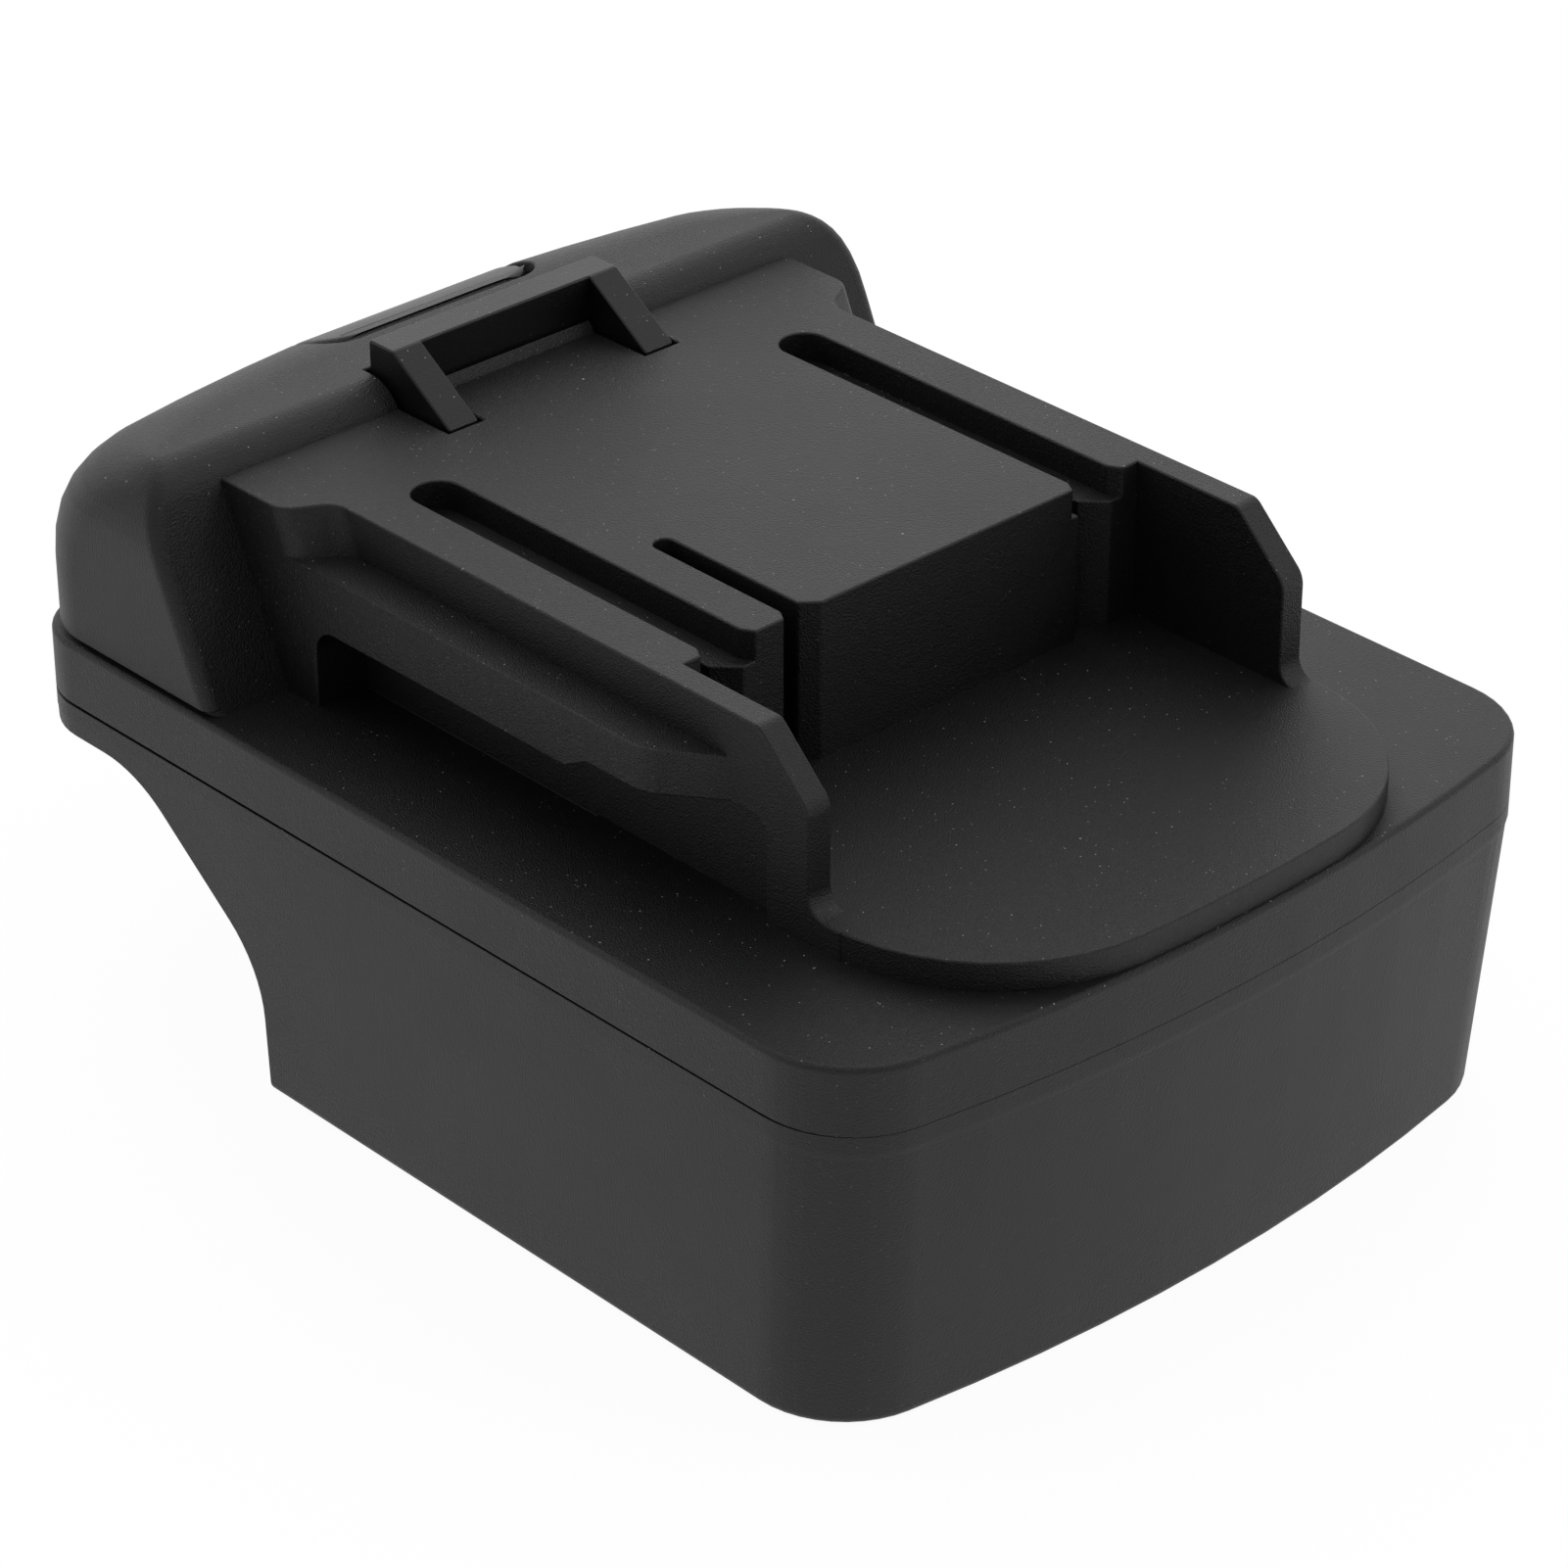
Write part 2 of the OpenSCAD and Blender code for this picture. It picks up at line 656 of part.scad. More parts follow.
// Heights of the hump's rings, closer together towards the top
function hump_heights(wall) =
    let (r = hump_rear_r - wall, top = hump_h - wall)
    [for (i = [0 : hump_steps]) top - r + r * sin(90 * (1 - pow(1 - i / hump_steps, hump_crowding)))];

// A closed skin over rings of equally many points
module loft(rings) {
    n = len(rings[0]);
    last = len(rings) - 1;
    faces = concat(
        [[for (i = [0 : n - 1]) i]],
        [for (k = [0 : last - 1], i = [0 : n - 1])
            [k * n + i, (k + 1) * n + i, (k + 1) * n + (i + 1) % n]],
        [for (k = [0 : last - 1], i = [0 : n - 1])
            [k * n + i, (k + 1) * n + (i + 1) % n, k * n + (i + 1) % n]],
        [[for (i = [n - 1 : -1 : 0]) last * n + i]]);
    polyhedron([for (r = rings) each r], faces, convexity = 10);
}

// A side outline of Y and Z points, drawn out along X
module along_x(x0, x1) {
    translate([x0, 0, 0]) rotate([90, 0, 90]) linear_extrude(x1 - x0) children();
}

// A box between two corners
module block_between(low, high) {
    translate(low) cube(high - low);
}

// The same on both sides of the middle plane
module both_sides() {
    children();
    mirror([1, 0, 0]) children();
}

// A tube swept along a route
module tube(route, r, sides = 8) {
    last = len(route) - 1;
    loft([for (i = [0 : last])
        let (way = unit(route[min(i + 1, last)] - route[max(i - 1, 0)]), side = unit(cross(way, [0, 0, 1])),
             up = cross(side, way))
        [for (s = [0 : sides - 1])
            let (t = 360 * (s + 0.5) / sides)
            route[i] + r * (cos(t) * side + sin(t) * up)]]);
}

// A pan-head screw standing on its head, with the shank up from z = 0
module screw(r, length, head_r, head_h) {
    recess_l = 1.2;
    recess_w = 0.24;
    recess_d = 0.55;
    cylinder(r = r, h = length);
    difference() {
        translate([0, 0, -head_h]) cylinder(r = head_r, h = head_h);
        for (turn = [0, 90])
            rotate(turn) translate([-head_r * recess_l / 2, -head_r * recess_w / 2, -head_h - over])
                cube([head_r * recess_l, head_r * recess_w, over + head_h * recess_d]);
    }
}

// Lower case

// Outer form: drafted walls down to the base, cut by the cove, under a flat overhang with a round edge
module lower_form() {
    function at(z, inset) =
        let (low = 1 - z / seam_h)
        ring(body_plan(inset, side_draft * low, front_draft * low), z);
    difference() {
        loft(concat(
            [for (i = [0 : edge_steps]) let (t = 90 * i / edge_steps)
                at(edge_up(base_edge_r, t), edge_in(base_edge_r, t))],
            [at(seam_h, 0)]));
        cove();
    }
    loft(concat(
        [for (i = [0 : edge_steps]) let (t = 90 * i / edge_steps)
            ring(body_plan(edge_in(overhang_edge_r, t)), overhang_h + edge_up(overhang_edge_r, t))],
        [ring(body_plan(0), seam_h)]));
}

// Space behind and below the coved rear edge of the side walls
module cove() {
    slope_top_y = cove_wall_y + (overhang_h - cove_knee_h) / tan(cove_angle);
    outline = [
        [rear_y + cove_depth, overhang_h], [slope_top_y, overhang_h], [cove_wall_y, cove_knee_h],
        [cove_wall_y, -over], [rear_y + cove_depth, -over]
    ];
    along_x(-body_w, body_w) polygon(rounded(outline, [0, cove_upper_r, cove_lower_r, 0, 0]));
}

// The dock's plan: a bowed front with round corners, open at the rear
dock_plan = concat(
    [for (p = end_arc(dock_half, -dock_front_y, max(corner_r - dock_wall, least_r), front_bow)) -p],
    [[dock_half, rear_y + over], [-dock_half, rear_y + over]]);

// Space of the dock: open below and at the rear
module dock_space() {
    translate([0, 0, -over]) linear_extrude(dock_h + over) polygon(dock_plan);
}

// Guide rails that carry the battery, with a lead-in at the rear
module dock_rails() {
    outline = [
        [dock_half + over, rail_rear_y - dock_rail_l], [dock_half - dock_rail_w, rail_rear_y - dock_rail_l],
        [dock_half - dock_rail_w, rail_rear_y - dock_rail_w], [dock_half - over, rail_rear_y],
        [dock_half + over, rail_rear_y]
    ];
    both_sides() translate([0, 0, dock_rail_h]) linear_extrude(dock_rail_t) polygon(outline);
}

// Room above the dock's roof for the board, and the shallow tray over the overhang
module lower_room() {
    intersection() {
        translate([0, 0, roof_top]) linear_extrude(seam_h) polygon(body_plan(seat_wall));
        block_between([-body_w, front_y, 0], [body_w, cove_wall_y + room_over_cove, 2 * seam_h]);
    }
    translate([0, 0, tray_floor]) linear_extrude(seam_h) polygon(body_plan(seat_wall));
}

// Raised seat that sets the seam gap, and the lip inside the skirt
module seam_seat() {
    lip_in = skirt_wall + slip;
    translate([0, 0, seam_h - over]) linear_extrude(over + seam_gap) difference() {
        polygon(body_plan(seat_in));
        polygon(body_plan(seat_wall));
    }
    translate([0, 0, seam_h - over]) linear_extrude(over + lip_h) difference() {
        polygon(body_plan(lip_in));
        polygon(body_plan(seat_wall));
    }
}

module lower_case() {
    pillar_r = screw_r + screw_gap + boss_wall;
    color(case_black) difference() {
        union() {
            difference() {
                union() {
                    lower_form();
                    seam_seat();
                }
                lower_room();
                dock_space();
            }
            dock_rails();
            both_sides() {
                translate([case_screw_x, case_screw_front_y, roof_top - over])
                    cylinder(r = pillar_r, h = boss_joint - roof_top + over);
                translate([case_screw_x, case_screw_rear_y, overhang_h + over])
                    cylinder(r = screw_head_r + boss_wall, h = boss_joint - overhang_h - over);
                translate([spring_pitch / 2, spring_y, tray_floor - over])
                    cylinder(r = peg_r, h = over + peg_h);
                for (end = [-1, 1])
                    translate([board_post.x, board_mid_y + end * board_post.y, roof_top - over])
                        cylinder(r = small_screw_r + boss_wall, h = over + board_stand);
            }
        }
        both_sides() {
            translate([case_screw_x, case_screw_front_y, dock_h - over]) {
                cylinder(r = screw_head_r + slip, h = over + screw_head_h + head_sink);
                cylinder(r = screw_r + screw_gap, h = seam_h);
            }
            translate([case_screw_x, case_screw_rear_y, overhang_h - over]) {
                cylinder(r = screw_head_r + slip, h = over + screw_head_h + head_sink);
                cylinder(r = screw_r + screw_gap, h = seam_h);
            }
            for (end = [-1, 1])
                translate([board_post.x, board_mid_y + end * board_post.y, roof_top - post_depth])
                    cylinder(r = small_screw_r + screw_gap, h = seam_h);
            translate([block_screw.x, block_screw.y, 0]) cylinder(r = small_screw_r + screw_gap, h = seam_h);
        }
        block_between([-catch_w / 2, catch_rear_y - catch_l, dock_h - over],
                      [catch_w / 2, catch_rear_y, dock_h + catch_d]);
        riser_slots(dock_h, roof_top);
    }
}

// Slots for the blades' risers between two heights
module riser_slots(low, high) {
    half_w = blade_t / 2 + slip;
    for (place = [-1 : 1])
        block_between([place * blade_pitch - half_w, riser_front_y - slip, low - over],
                      [place * blade_pitch + half_w, riser_front_y + riser_w + slip, high + over]);
}

// Upper case

// Deck with a round edge over a short skirt
module upper_case() {
    low = seam_h + seam_gap;
    color(case_black) difference() {
        union() {
            difference() {
                loft(concat(
                    [ring(body_plan(0), low)],
                    [for (i = [0 : edge_steps]) let (t = 90 - 90 * i / edge_steps)
                        ring(body_plan(edge_in(deck_edge_r, t)), deck_h - edge_up(deck_edge_r, t))]));
                translate([0, 0, low - over]) linear_extrude(deck_under - low + over)
                    polygon(body_plan(skirt_wall));
            }
            for (y = [case_screw_front_y, case_screw_rear_y])
                both_sides() translate([case_screw_x, y, boss_joint])
                    cylinder(r = screw_r + screw_gap + boss_wall, h = deck_under - boss_joint + over);
        }
        block_between([-opening_w / 2, opening_front_y, deck_under - over],
                      [opening_w / 2, opening_rear_y, deck_h + over]);
        for (y = [case_screw_front_y, case_screw_rear_y])
            both_sides() translate([case_screw_x, y, boss_joint - over])
                cylinder(r = screw_r + screw_gap, h = over + screw_bite + case_tip_room);
        for (p = cover_screw_places)
            translate([p.x, p.y, deck_under - over]) cylinder(r = screw_r + screw_gap, h = deck_t + 2 * over);
    }
}

// Slide cover

module hump(wall, set_in, low) {
    loft(concat([low], [for (z = hump_heights(wall)) ring(hump_plan(z, wall, set_in), z)]));
}

// Hump with its step groove above the skirt
module hump_form() {
    groove_top = deck_h + hump_groove_h;
    deep = hump_inset + hump_groove_d;
    loft([for (z = [deck_h, groove_top + lap]) ring(hump_plan(z, 0, deep), z)]);
    hump(0, hump_inset, ring(hump_plan(groove_top, 0, hump_inset), groove_top));
}

// Room inside the hump
module hump_room() {
    low = deck_h - over;
    hump(cover_wall, hump_inset, ring(hump_plan(low, cover_wall, hump_inset), low));
}

// Top band of the block: wide rear shoulders, narrow rails and a curved step that leans like the hump
module rail_band() {
    wide = flange_w / 2;
    narrow = rail_w / 2;
    step_y = -notch_r * tan(notch_angle / 2);
    foot_y = step_y - (wide - narrow) / tan(notch_angle);
    rear = bar_front_y - shoulder_y + rail_h + over;
    front = block_front_y - shoulder_y - over;
    outline = rounded([
        [-wide, rear], [-wide, step_y], [-narrow, foot_y], [-narrow, front],
        [narrow, front], [narrow, foot_y], [wide, step_y], [wide, rear]
    ], [0, notch_r, notch_r, 0, 0, notch_r, notch_r, 0]);
    intersection() {
        block_between([-flange_w, block_front_y, flange_top - hair], [flange_w, bar_front_y, block_top]);
        translate([0, shoulder_y, block_top]) rotate([-hump_lean, 0, 0])
            linear_extrude(2 * shoulder_l, center = true)
                polygon([for (p = outline) [p.x, p.y * cos(hump_lean)]]);
    }
}

// Core of the block, and the flanges with their slanting noses
module block_core() {
    block_between([-undercut_w / 2, block_front_y, deck_h], [undercut_w / 2, bar_front_y, flange_top]);
}

module flange() {
    nose_y = block_front_y - flange_nose;
    tip_y = nose_y - nose_slant * (flange_w - rail_w) / 2;
    inner = rail_w / 2 - fin_t;
    outline = [
        [inner, bar_front_y], [flange_w / 2, bar_front_y], [flange_w / 2, nose_y],
        [rail_w / 2, tip_y], [inner, tip_y]
    ];
    translate([0, 0, deck_h]) linear_extrude(flange_top - deck_h)
        polygon(rounded(outline, [0, 0, flange_nose_r, 0, 0]));
}

// Fin: thin wall in front of the block with a slanting nose and a filleted foot
module fin() {
    y = block_front_y - fin_l;
    top_y = block_front_y - fin_top_l;
    nose_h = block_top - (top_y - y) * tan(fin_angle);
    outline = [
        [block_front_y + over, block_top], [top_y, block_top], [y, nose_h], [y, tongue_top],
        [y - 2 * fin_foot_r, tongue_top], [y - 2 * fin_foot_r, deck_h], [block_front_y + over, deck_h]
    ];
    along_x(rail_w / 2 - fin_t, rail_w / 2)
        polygon(rounded(outline, [0, fin_top_r, fin_front_r, fin_foot_r, 0, 0, 0]));
}

// Undercut below a flange: a round closed end, a ramp up into the relief and a round front end
module undercut() {
    low = flange_top - flange_t;
    ramp_y = block_front_y + flange_relief_l;
    front = block_front_y - undercut_front;
    outline = [
        [undercut_y, deck_h - over], [undercut_y, low], [ramp_y, low],
        [ramp_y - relief_ramp_l, low + flange_relief], [front, low + flange_relief], [front, deck_h - over]
    ];
    along_x(undercut_w / 2, flange_w)
        polygon(rounded(outline, [0, undercut_r, relief_r, relief_r, undercut_front_r, 0]));
}

// Tongue plate in front of the block, with a round upper edge
module tongue() {
    function at(z, inset) =
        let (half_w = rail_w / 2 - inset, reach = body_l / 2 - tongue_setback - inset)
        ring(concat([[half_w, block_front_y + over], [-half_w, block_front_y + over]],
                    [for (p = end_arc(half_w, reach, tongue_corner_r - inset, front_bow)) -p]), z);
    loft(concat([at(deck_h, 0)],
        [for (i = [0 : edge_steps]) let (t = 90 - 90 * i / edge_steps)
            at(tongue_top - edge_up(tongue_edge_r, t), edge_in(tongue_edge_r, t))]));
}

// Wide slot with a ledge, and the blade slot down to the tongue at its -X side
module wide_slot(x) {
    low_x = x - slot_w / 2;
    high_x = x + slot_w / 2;
    blade_x = x + blade_slot_offset;
    blade_low_x = blade_x - blade_slot_w / 2;
    blade_high_x = blade_x + blade_slot_w / 2;
    translate([0, 0, ledge_h]) linear_extrude(slot_depth + over) {
        translate([low_x, block_front_y - over]) square([slot_w, slot_l + over - slot_w / 2]);
        translate([x, slot_rear_y - slot_w / 2]) circle(slot_w / 2);
        polygon([
            [low_x - mouth_flare, block_front_y - hair], [high_x + mouth_flare, block_front_y - hair],
            [high_x, block_front_y + mouth_depth], [low_x, block_front_y + mouth_depth]
        ]);
    }
    translate([0, 0, tongue_top]) linear_extrude(block_top - tongue_top) {
        translate([blade_low_x, block_front_y - over]) square([blade_slot_w, slot_l - slot_w + over]);
        polygon([
            [blade_high_x - lap, block_front_y - hair], [blade_high_x + blade_lead_in, block_front_y - hair],
            [blade_high_x - lap, block_front_y + blade_lead_in]
        ]);
    }
}

// Signal slot with a round end, and the chamfer at the block's corner beside it
module signal_slot() {
    low_x = signal_x - signal_slot_w / 2;
    high_x = signal_x + signal_slot_w / 2;
    translate([0, 0, tongue_top]) linear_extrude(block_top - tongue_top + over) {
        translate([low_x, block_front_y - over])
            square([signal_slot_w, signal_slot_l + over - signal_slot_w / 2]);
        translate([signal_x, block_front_y + signal_slot_l - signal_slot_w / 2]) circle(signal_slot_w / 2);
        polygon([
            [high_x - lap, block_front_y - hair],
            [high_x + block_chamfer * chamfer_slant, block_front_y - hair],
            [high_x - lap, block_front_y + block_chamfer]
        ]);
        polygon([
            [low_x - mouth_flare, block_front_y - hair], [signal_x, block_front_y - hair],
            [low_x + lap, block_front_y + mouth_depth]
        ]);
    }
}

// Rooms for the contacts, and the hollow in the middle of the block
module contact_rooms() {
    low = deck_h - over;
    top = block_top - cover_wall;
    power_half = blade_slot_w / 2 + pocket_side;
    signal_half = signal_slot_w / 2;
    for (x = [power_x, power_x_left])
        block_between([x - power_half, pocket_y, low], [x + power_half, pocket_rear_y, pocket_top]);
    block_between([signal_x - signal_half - signal_pocket_side, pocket_y, low],
                  [signal_x + signal_half + signal_pocket_side, block_front_y + signal_slot_l, pocket_top]);
    block_between([signal_x + signal_half + hollow_signal_wall, pocket_y, low],
                  [power_x - power_half - hollow_power_wall, pocket_rear_y - over, top]);
    block_between([-well_w / 2, well_front_y, low], [well_w / 2, bar_rear_y + over, top]);
}

// Openings that the hook and the button slide through
module latch_openings() {
    low = latch_plate_under - latch_travel - latch_gap;
    both_sides() block_between([hook_w / 2 - ramp_w - latch_gap, ramp_front_y - latch_gap, low],
                               [hook_w / 2 + latch_gap, bar_rear_y, hook_top]);
    block_between([-hook_w / 2 - latch_gap, bar_front_y - latch_gap, low],
                  [hook_w / 2 + latch_gap, bar_rear_y + latch_gap, hook_top]);
    translate([0, 0, low]) linear_extrude(hook_top - low) button_plan(latch_gap, button_front_gap);
}

// The button's plan, grown by a clearance at the sides and rear and by another at the front
module button_plan(grow, front_grow) {
    half_w = button_w / 2 + grow;
    r = button_r + grow;
    front = button_front_y - front_grow;
    rear = button_rear_y + grow;
    outline = [[-half_w, front], [half_w, front], [half_w, rear], [-half_w, rear]];
    polygon(rounded(outline, [r, r, r, r]));
}

module slide_cover() {
    boss_r = screw_r + screw_gap + boss_wall;
    boss_skin = 0.4;
    hole_h = over + screw_bite + tip_room;
    color(case_black) difference() {
        union() {
            difference() {
                union() {
                    hump_form();
                    rail_band();
                    block_core();
                    both_sides() {
                        flange();
                        fin();
                    }
                    tongue();
                }
                both_sides() undercut();
                hump_room();
            }
            intersection() {
                both_sides() translate([cover_rear_screw.x, cover_rear_screw.y, deck_h])
                    cylinder(r = boss_r, h = hump_h - deck_h);
                hump(boss_skin, hump_inset, ring(hump_plan(deck_h, boss_skin, hump_inset), deck_h));
            }
        }
        wide_slot(slot_pitch / 2);
        wide_slot(-slot_pitch / 2);
        signal_slot();
        contact_rooms();
        latch_openings();
        for (p = cover_screw_places)
            translate([p.x, p.y, deck_h - over]) cylinder(r = screw_r + screw_gap, h = hole_h);
        for (p = carrier_screw_places)
            translate([p.x, p.y, deck_h - over]) cylinder(r = small_screw_r + screw_gap, h = hole_h);
    }
}

// Release latch: hook, carrying plate and button in one piece

module release_latch() {
    half_w = hook_w / 2;
    ramp = [
        [ramp_front_y, ramp_under], [ramp_front_y, block_top], [bar_front_y, hook_top],
        [bar_rear_y, hook_top], [bar_rear_y, ramp_under]
    ];
    plate_half = min(button_w, hook_w) / 2;
    color(latch_black) {
        both_sides() along_x(half_w - ramp_w, half_w) polygon(ramp);
        block_between([-half_w, bar_front_y, latch_plate_under], [half_w, bar_rear_y, hook_top]);
        block_between([-plate_half, bar_rear_y - over, latch_plate_under],
                      [plate_half, button_rear_y - button_r, latch_plate_top]);
        intersection() {
            translate([0, 0, latch_plate_under]) linear_extrude(hook_top) button_plan(0, 0);
            button_top();
        }
        both_sides() translate([spring_pitch / 2, spring_y, latch_plate_under - peg_h])
            cylinder(r = peg_r, h = peg_h + over);
    }
}

// Round top of the button, parallel to the hump's rear rounding
module button_top() {
    r = hump_rear_r + button_rise;
    mid_y = rear_y - hump_inset - hump_rear_r;
    mid_z = hump_h - hump_rear_r;
    along_x(-body_w, body_w) {
        translate([mid_y, mid_z]) circle(r, $fn = 96);
        translate([mid_y - r, mid_z]) square([r, r]);
    }
}

// Springs

// Rings of a spring's wire, from its lower to its upper seat
function spring_path(i) =
    let (n = spring_turns * 8, t = 360 * i / 8)
    [spring_r * cos(t), spring_r * sin(t), spring_low + (spring_high - spring_low) * i / n];
function wire_ring(i, sides = 6) =
    let (t = 360 * i / 8, out = [cos(t), sin(t), 0], rise = (spring_high - spring_low) / spring_turns,
         way = unit([-sin(t), cos(t), rise / (2 * PI * spring_r)]), up = cross(way, out))
    [for (s = [0 : sides - 1]) let (a = 360 * s / sides)
        spring_path(i) + spring_wire / 2 * (cos(a) * -out + sin(a) * up)];
spring_points = [for (i = [0 : spring_turns * 8]) spring_path(i)];
least_spring_gap = min([for (i = [0 : len(spring_points) - 7], j = [i + 6 : len(spring_points) - 1])
    norm(spring_points[i] - spring_points[j])]) - spring_wire;
echo(least_spring_gap = least_spring_gap);

module latch_spring(side) {
    color(steel) translate([side * spring_pitch / 2, spring_y, 0])
        loft([for (i = [0 : spring_turns * 8]) wire_ring(i)]);
}
module latch_spring_left() {
    latch_spring(-1);
}
module latch_spring_right() {
    latch_spring(1);
}

// Output contacts

// Spring contact: two leaves that pinch a blade, on a base with a solder tail
module contact(x, length, root, height) {
    straight = min(contact_grip, length / 3) + contact_taper;
    leaf = [
        [root, length], [root, straight], [contact_pinch, contact_mouth], [contact_pinch + contact_flare, 0],
        [contact_pinch + contact_flare + contact_t, 0], [contact_pinch + contact_t, contact_mouth],
        [root + contact_t, straight], [root + contact_t, length]
    ];
    translate([x, contact_y, deck_h]) {
        both_sides() linear_extrude(height) polygon(leaf);
        translate([-root - contact_t, straight, 0])
            cube([2 * (root + contact_t), length - straight, contact_t]);
        translate([-contact_t / 2, tail_y - contact_y, 0])
            cube([contact_t, length + contact_y - tail_y, contact_t]);
        translate([-contact_t / 2, tail_y - contact_y, tail_low - deck_h])
            cube([contact_t, tail_l, deck_h - tail_low + contact_t]);
    }
}
module output_terminal_positive() {
    color(brass) contact(power_x, contact_l, contact_root, contact_h);
}
module output_terminal_negative() {
    color(brass) contact(power_x_left, contact_l, contact_root, contact_h);
}
module signal_terminal() {
    color(brass) contact(signal_x, signal_contact_l, signal_contact_root, contact_h);
}

// Plate in the deck's opening that holds the contacts up against the block
module terminal_carrier() {
    half_w = opening_w / 2 - slip;
    color(inner_black) difference() {
        block_between([-half_w, carrier_front_y, carrier_under], [half_w, carrier_rear_y, deck_h]);
        for (x = [power_x, power_x_left, signal_x])
            block_between([x - contact_t / 2 - slip, tail_y - slip, carrier_under - over],
                          [x + contact_t / 2 + slip, tail_y + tail_l + slip, deck_h + over]);
        for (p = carrier_screw_places)
            translate([p.x, p.y, carrier_under - over])
                cylinder(r = small_screw_r + screw_gap, h = carrier_t + 2 * over);
    }
}

module carrier_screws() {
    color(steel) for (p = carrier_screw_places)
        translate([p.x, p.y, carrier_under])
            screw(small_screw_r, carrier_t + screw_bite, small_head_r, small_head_h);
}

// Board and what it carries

module circuit_board() {
    color(board_green) difference() {
        block_between([-board_w / 2, board_front_y, board_low], [board_w / 2, board_rear_y, board_top]);
        both_sides() for (end = [-1, 1])
            translate([board_post.x, board_mid_y + end * board_post.y, board_low - over])
                cylinder(r = small_screw_r + screw_gap, h = board_t + 2 * over);
        riser_slots(board_low, board_top);
    }
}

// Flat package with legs along two sides
module control_chip() {
    color(chip_black) translate([chip_x, board_mid_y + chip_y, board_top]) {
        translate([-chip_w / 2, -chip_l / 2, 0]) cube([chip_w, chip_l, chip_h]);
        for (i = [-2 : 2])
            translate([i * leg_pitch - leg_w / 2, -chip_l / 2 - leg_out, 0])
                cube([leg_w, chip_l + 2 * leg_out, leg_h]);
    }
}

// Two power transistors with a metal tab
module power_transistors() {
    color(chip_black) for (side = [-1, 1])
        translate([transistor_x + side * transistor_pitch / 2, board_mid_y + transistor_y, board_top]) {
            translate([-transistor_w / 2, -transistor_l / 2, 0])
                cube([transistor_w, transistor_l, transistor_h]);
            translate([-tab_w / 2, -transistor_l / 2 - tab_l, 0]) cube([tab_w, tab_l + tab_h, tab_h]);
        }
}

module board_resistors() {
    color(chip_black) for (i = [0 : 3])
        translate([resistor_x, board_mid_y + resistor_y + i * resistor_pitch, board_top])
            cube([resistor_l, resistor_w, resistor_h]);
}

module board_capacitor() {
    color(steel) translate([capacitor_x, board_mid_y + capacitor_y, board_top])
        cylinder(r = capacitor_r, h = capacitor_h);
}

// Two screws at opposite corners
module board_screws() {
    color(steel) for (end = [-1, 1])
        translate([end * board_post.x, board_mid_y + end * board_post.y, board_top]) mirror([0, 0, 1])
            screw(small_screw_r, board_t + board_stand + post_screw_bite, small_head_r, small_head_h);
}

// Input terminals in the dock

module input_terminal_block() {
    low = dock_h - term_h;
    color(inner_black) difference() {
        intersection() {
            block_between([-term_w / 2, term_front_y, low], [term_w / 2, term_rear_y, dock_h]);
            translate([0, slip, -over]) linear_extrude(2 * dock_h) polygon(dock_plan);
        }
        for (place = [-1 : 1]) {
            h = place == 0 ? signal_blade_h : blade_h;
            x = place * blade_pitch;
            block_between([x - blade_t / 2 - blade_gap, riser_front_y - blade_gap, blade_low - blade_gap],
                          [x + blade_t / 2 + blade_gap, term_rear_y + over, blade_low + h + blade_gap]);
            block_between([x - blade_t / 2 - blade_gap, riser_front_y - blade_gap, blade_low + h],
                          [x + blade_t / 2 + blade_gap, riser_front_y + riser_w + blade_gap, dock_h + over]);
        }
        both_sides() translate([block_screw.x, block_screw.y, dock_h - screw_bite - tip_room])
            cylinder(r = small_screw_r + screw_gap, h = screw_bite + tip_room + over);
    }
}

// Flat blade that points to the rear, with a riser up into the board
module input_blade(place, height) {
    x = place * blade_pitch;
    tip = height / 4;
    end_y = term_rear_y + blade_l;
    outline = [
        [riser_front_y, blade_low], [end_y - tip, blade_low], [end_y, blade_low + tip],
        [end_y, blade_low + height - tip], [end_y - tip, blade_low + height],
        [riser_front_y + riser_w, blade_low + height], [riser_front_y + riser_w, board_top + riser_stub],
        [riser_front_y, board_top + riser_stub]
    ];
    color(nickel) along_x(x - blade_t / 2, x + blade_t / 2) polygon(outline);
}
module input_blade_positive() {
    input_blade(1, blade_h);
}
module input_blade_negative() {
    input_blade(-1, blade_h);
}
module input_blade_signal() {
    input_blade(0, signal_blade_h);
}

module block_screws() {
    color(steel) both_sides() translate([block_screw.x, block_screw.y, roof_top]) mirror([0, 0, 1])
        screw(small_screw_r, dock_roof_t + screw_bite, small_head_r, small_head_h);
}

// Leads

module positive_lead() {
    color(lead_red) tube(positive_route, lead_r);
}
module negative_lead() {
    color(lead_blue) tube(negative_route, lead_r);
}
module signal_lead() {
    color(lead_white) tube(signal_route, signal_lead_r);
}

// Screws of the casing

module cover_screws() {
    color(steel) for (p = cover_screw_places)
        translate([p.x, p.y, deck_under]) screw(screw_r, deck_t + screw_bite, screw_head_r, screw_head_h);
}

module case_screws() {
    seat = screw_head_h + head_sink;
    color(steel) both_sides() {
        translate([case_screw_x, case_screw_front_y, dock_h + seat])
            screw(screw_r, boss_joint + screw_bite - dock_h - seat, screw_head_r, screw_head_h);
        translate([case_screw_x, case_screw_rear_y, overhang_h + seat])
            screw(screw_r, boss_joint + screw_bite - overhang_h - seat, screw_head_r, screw_head_h);
    }
}

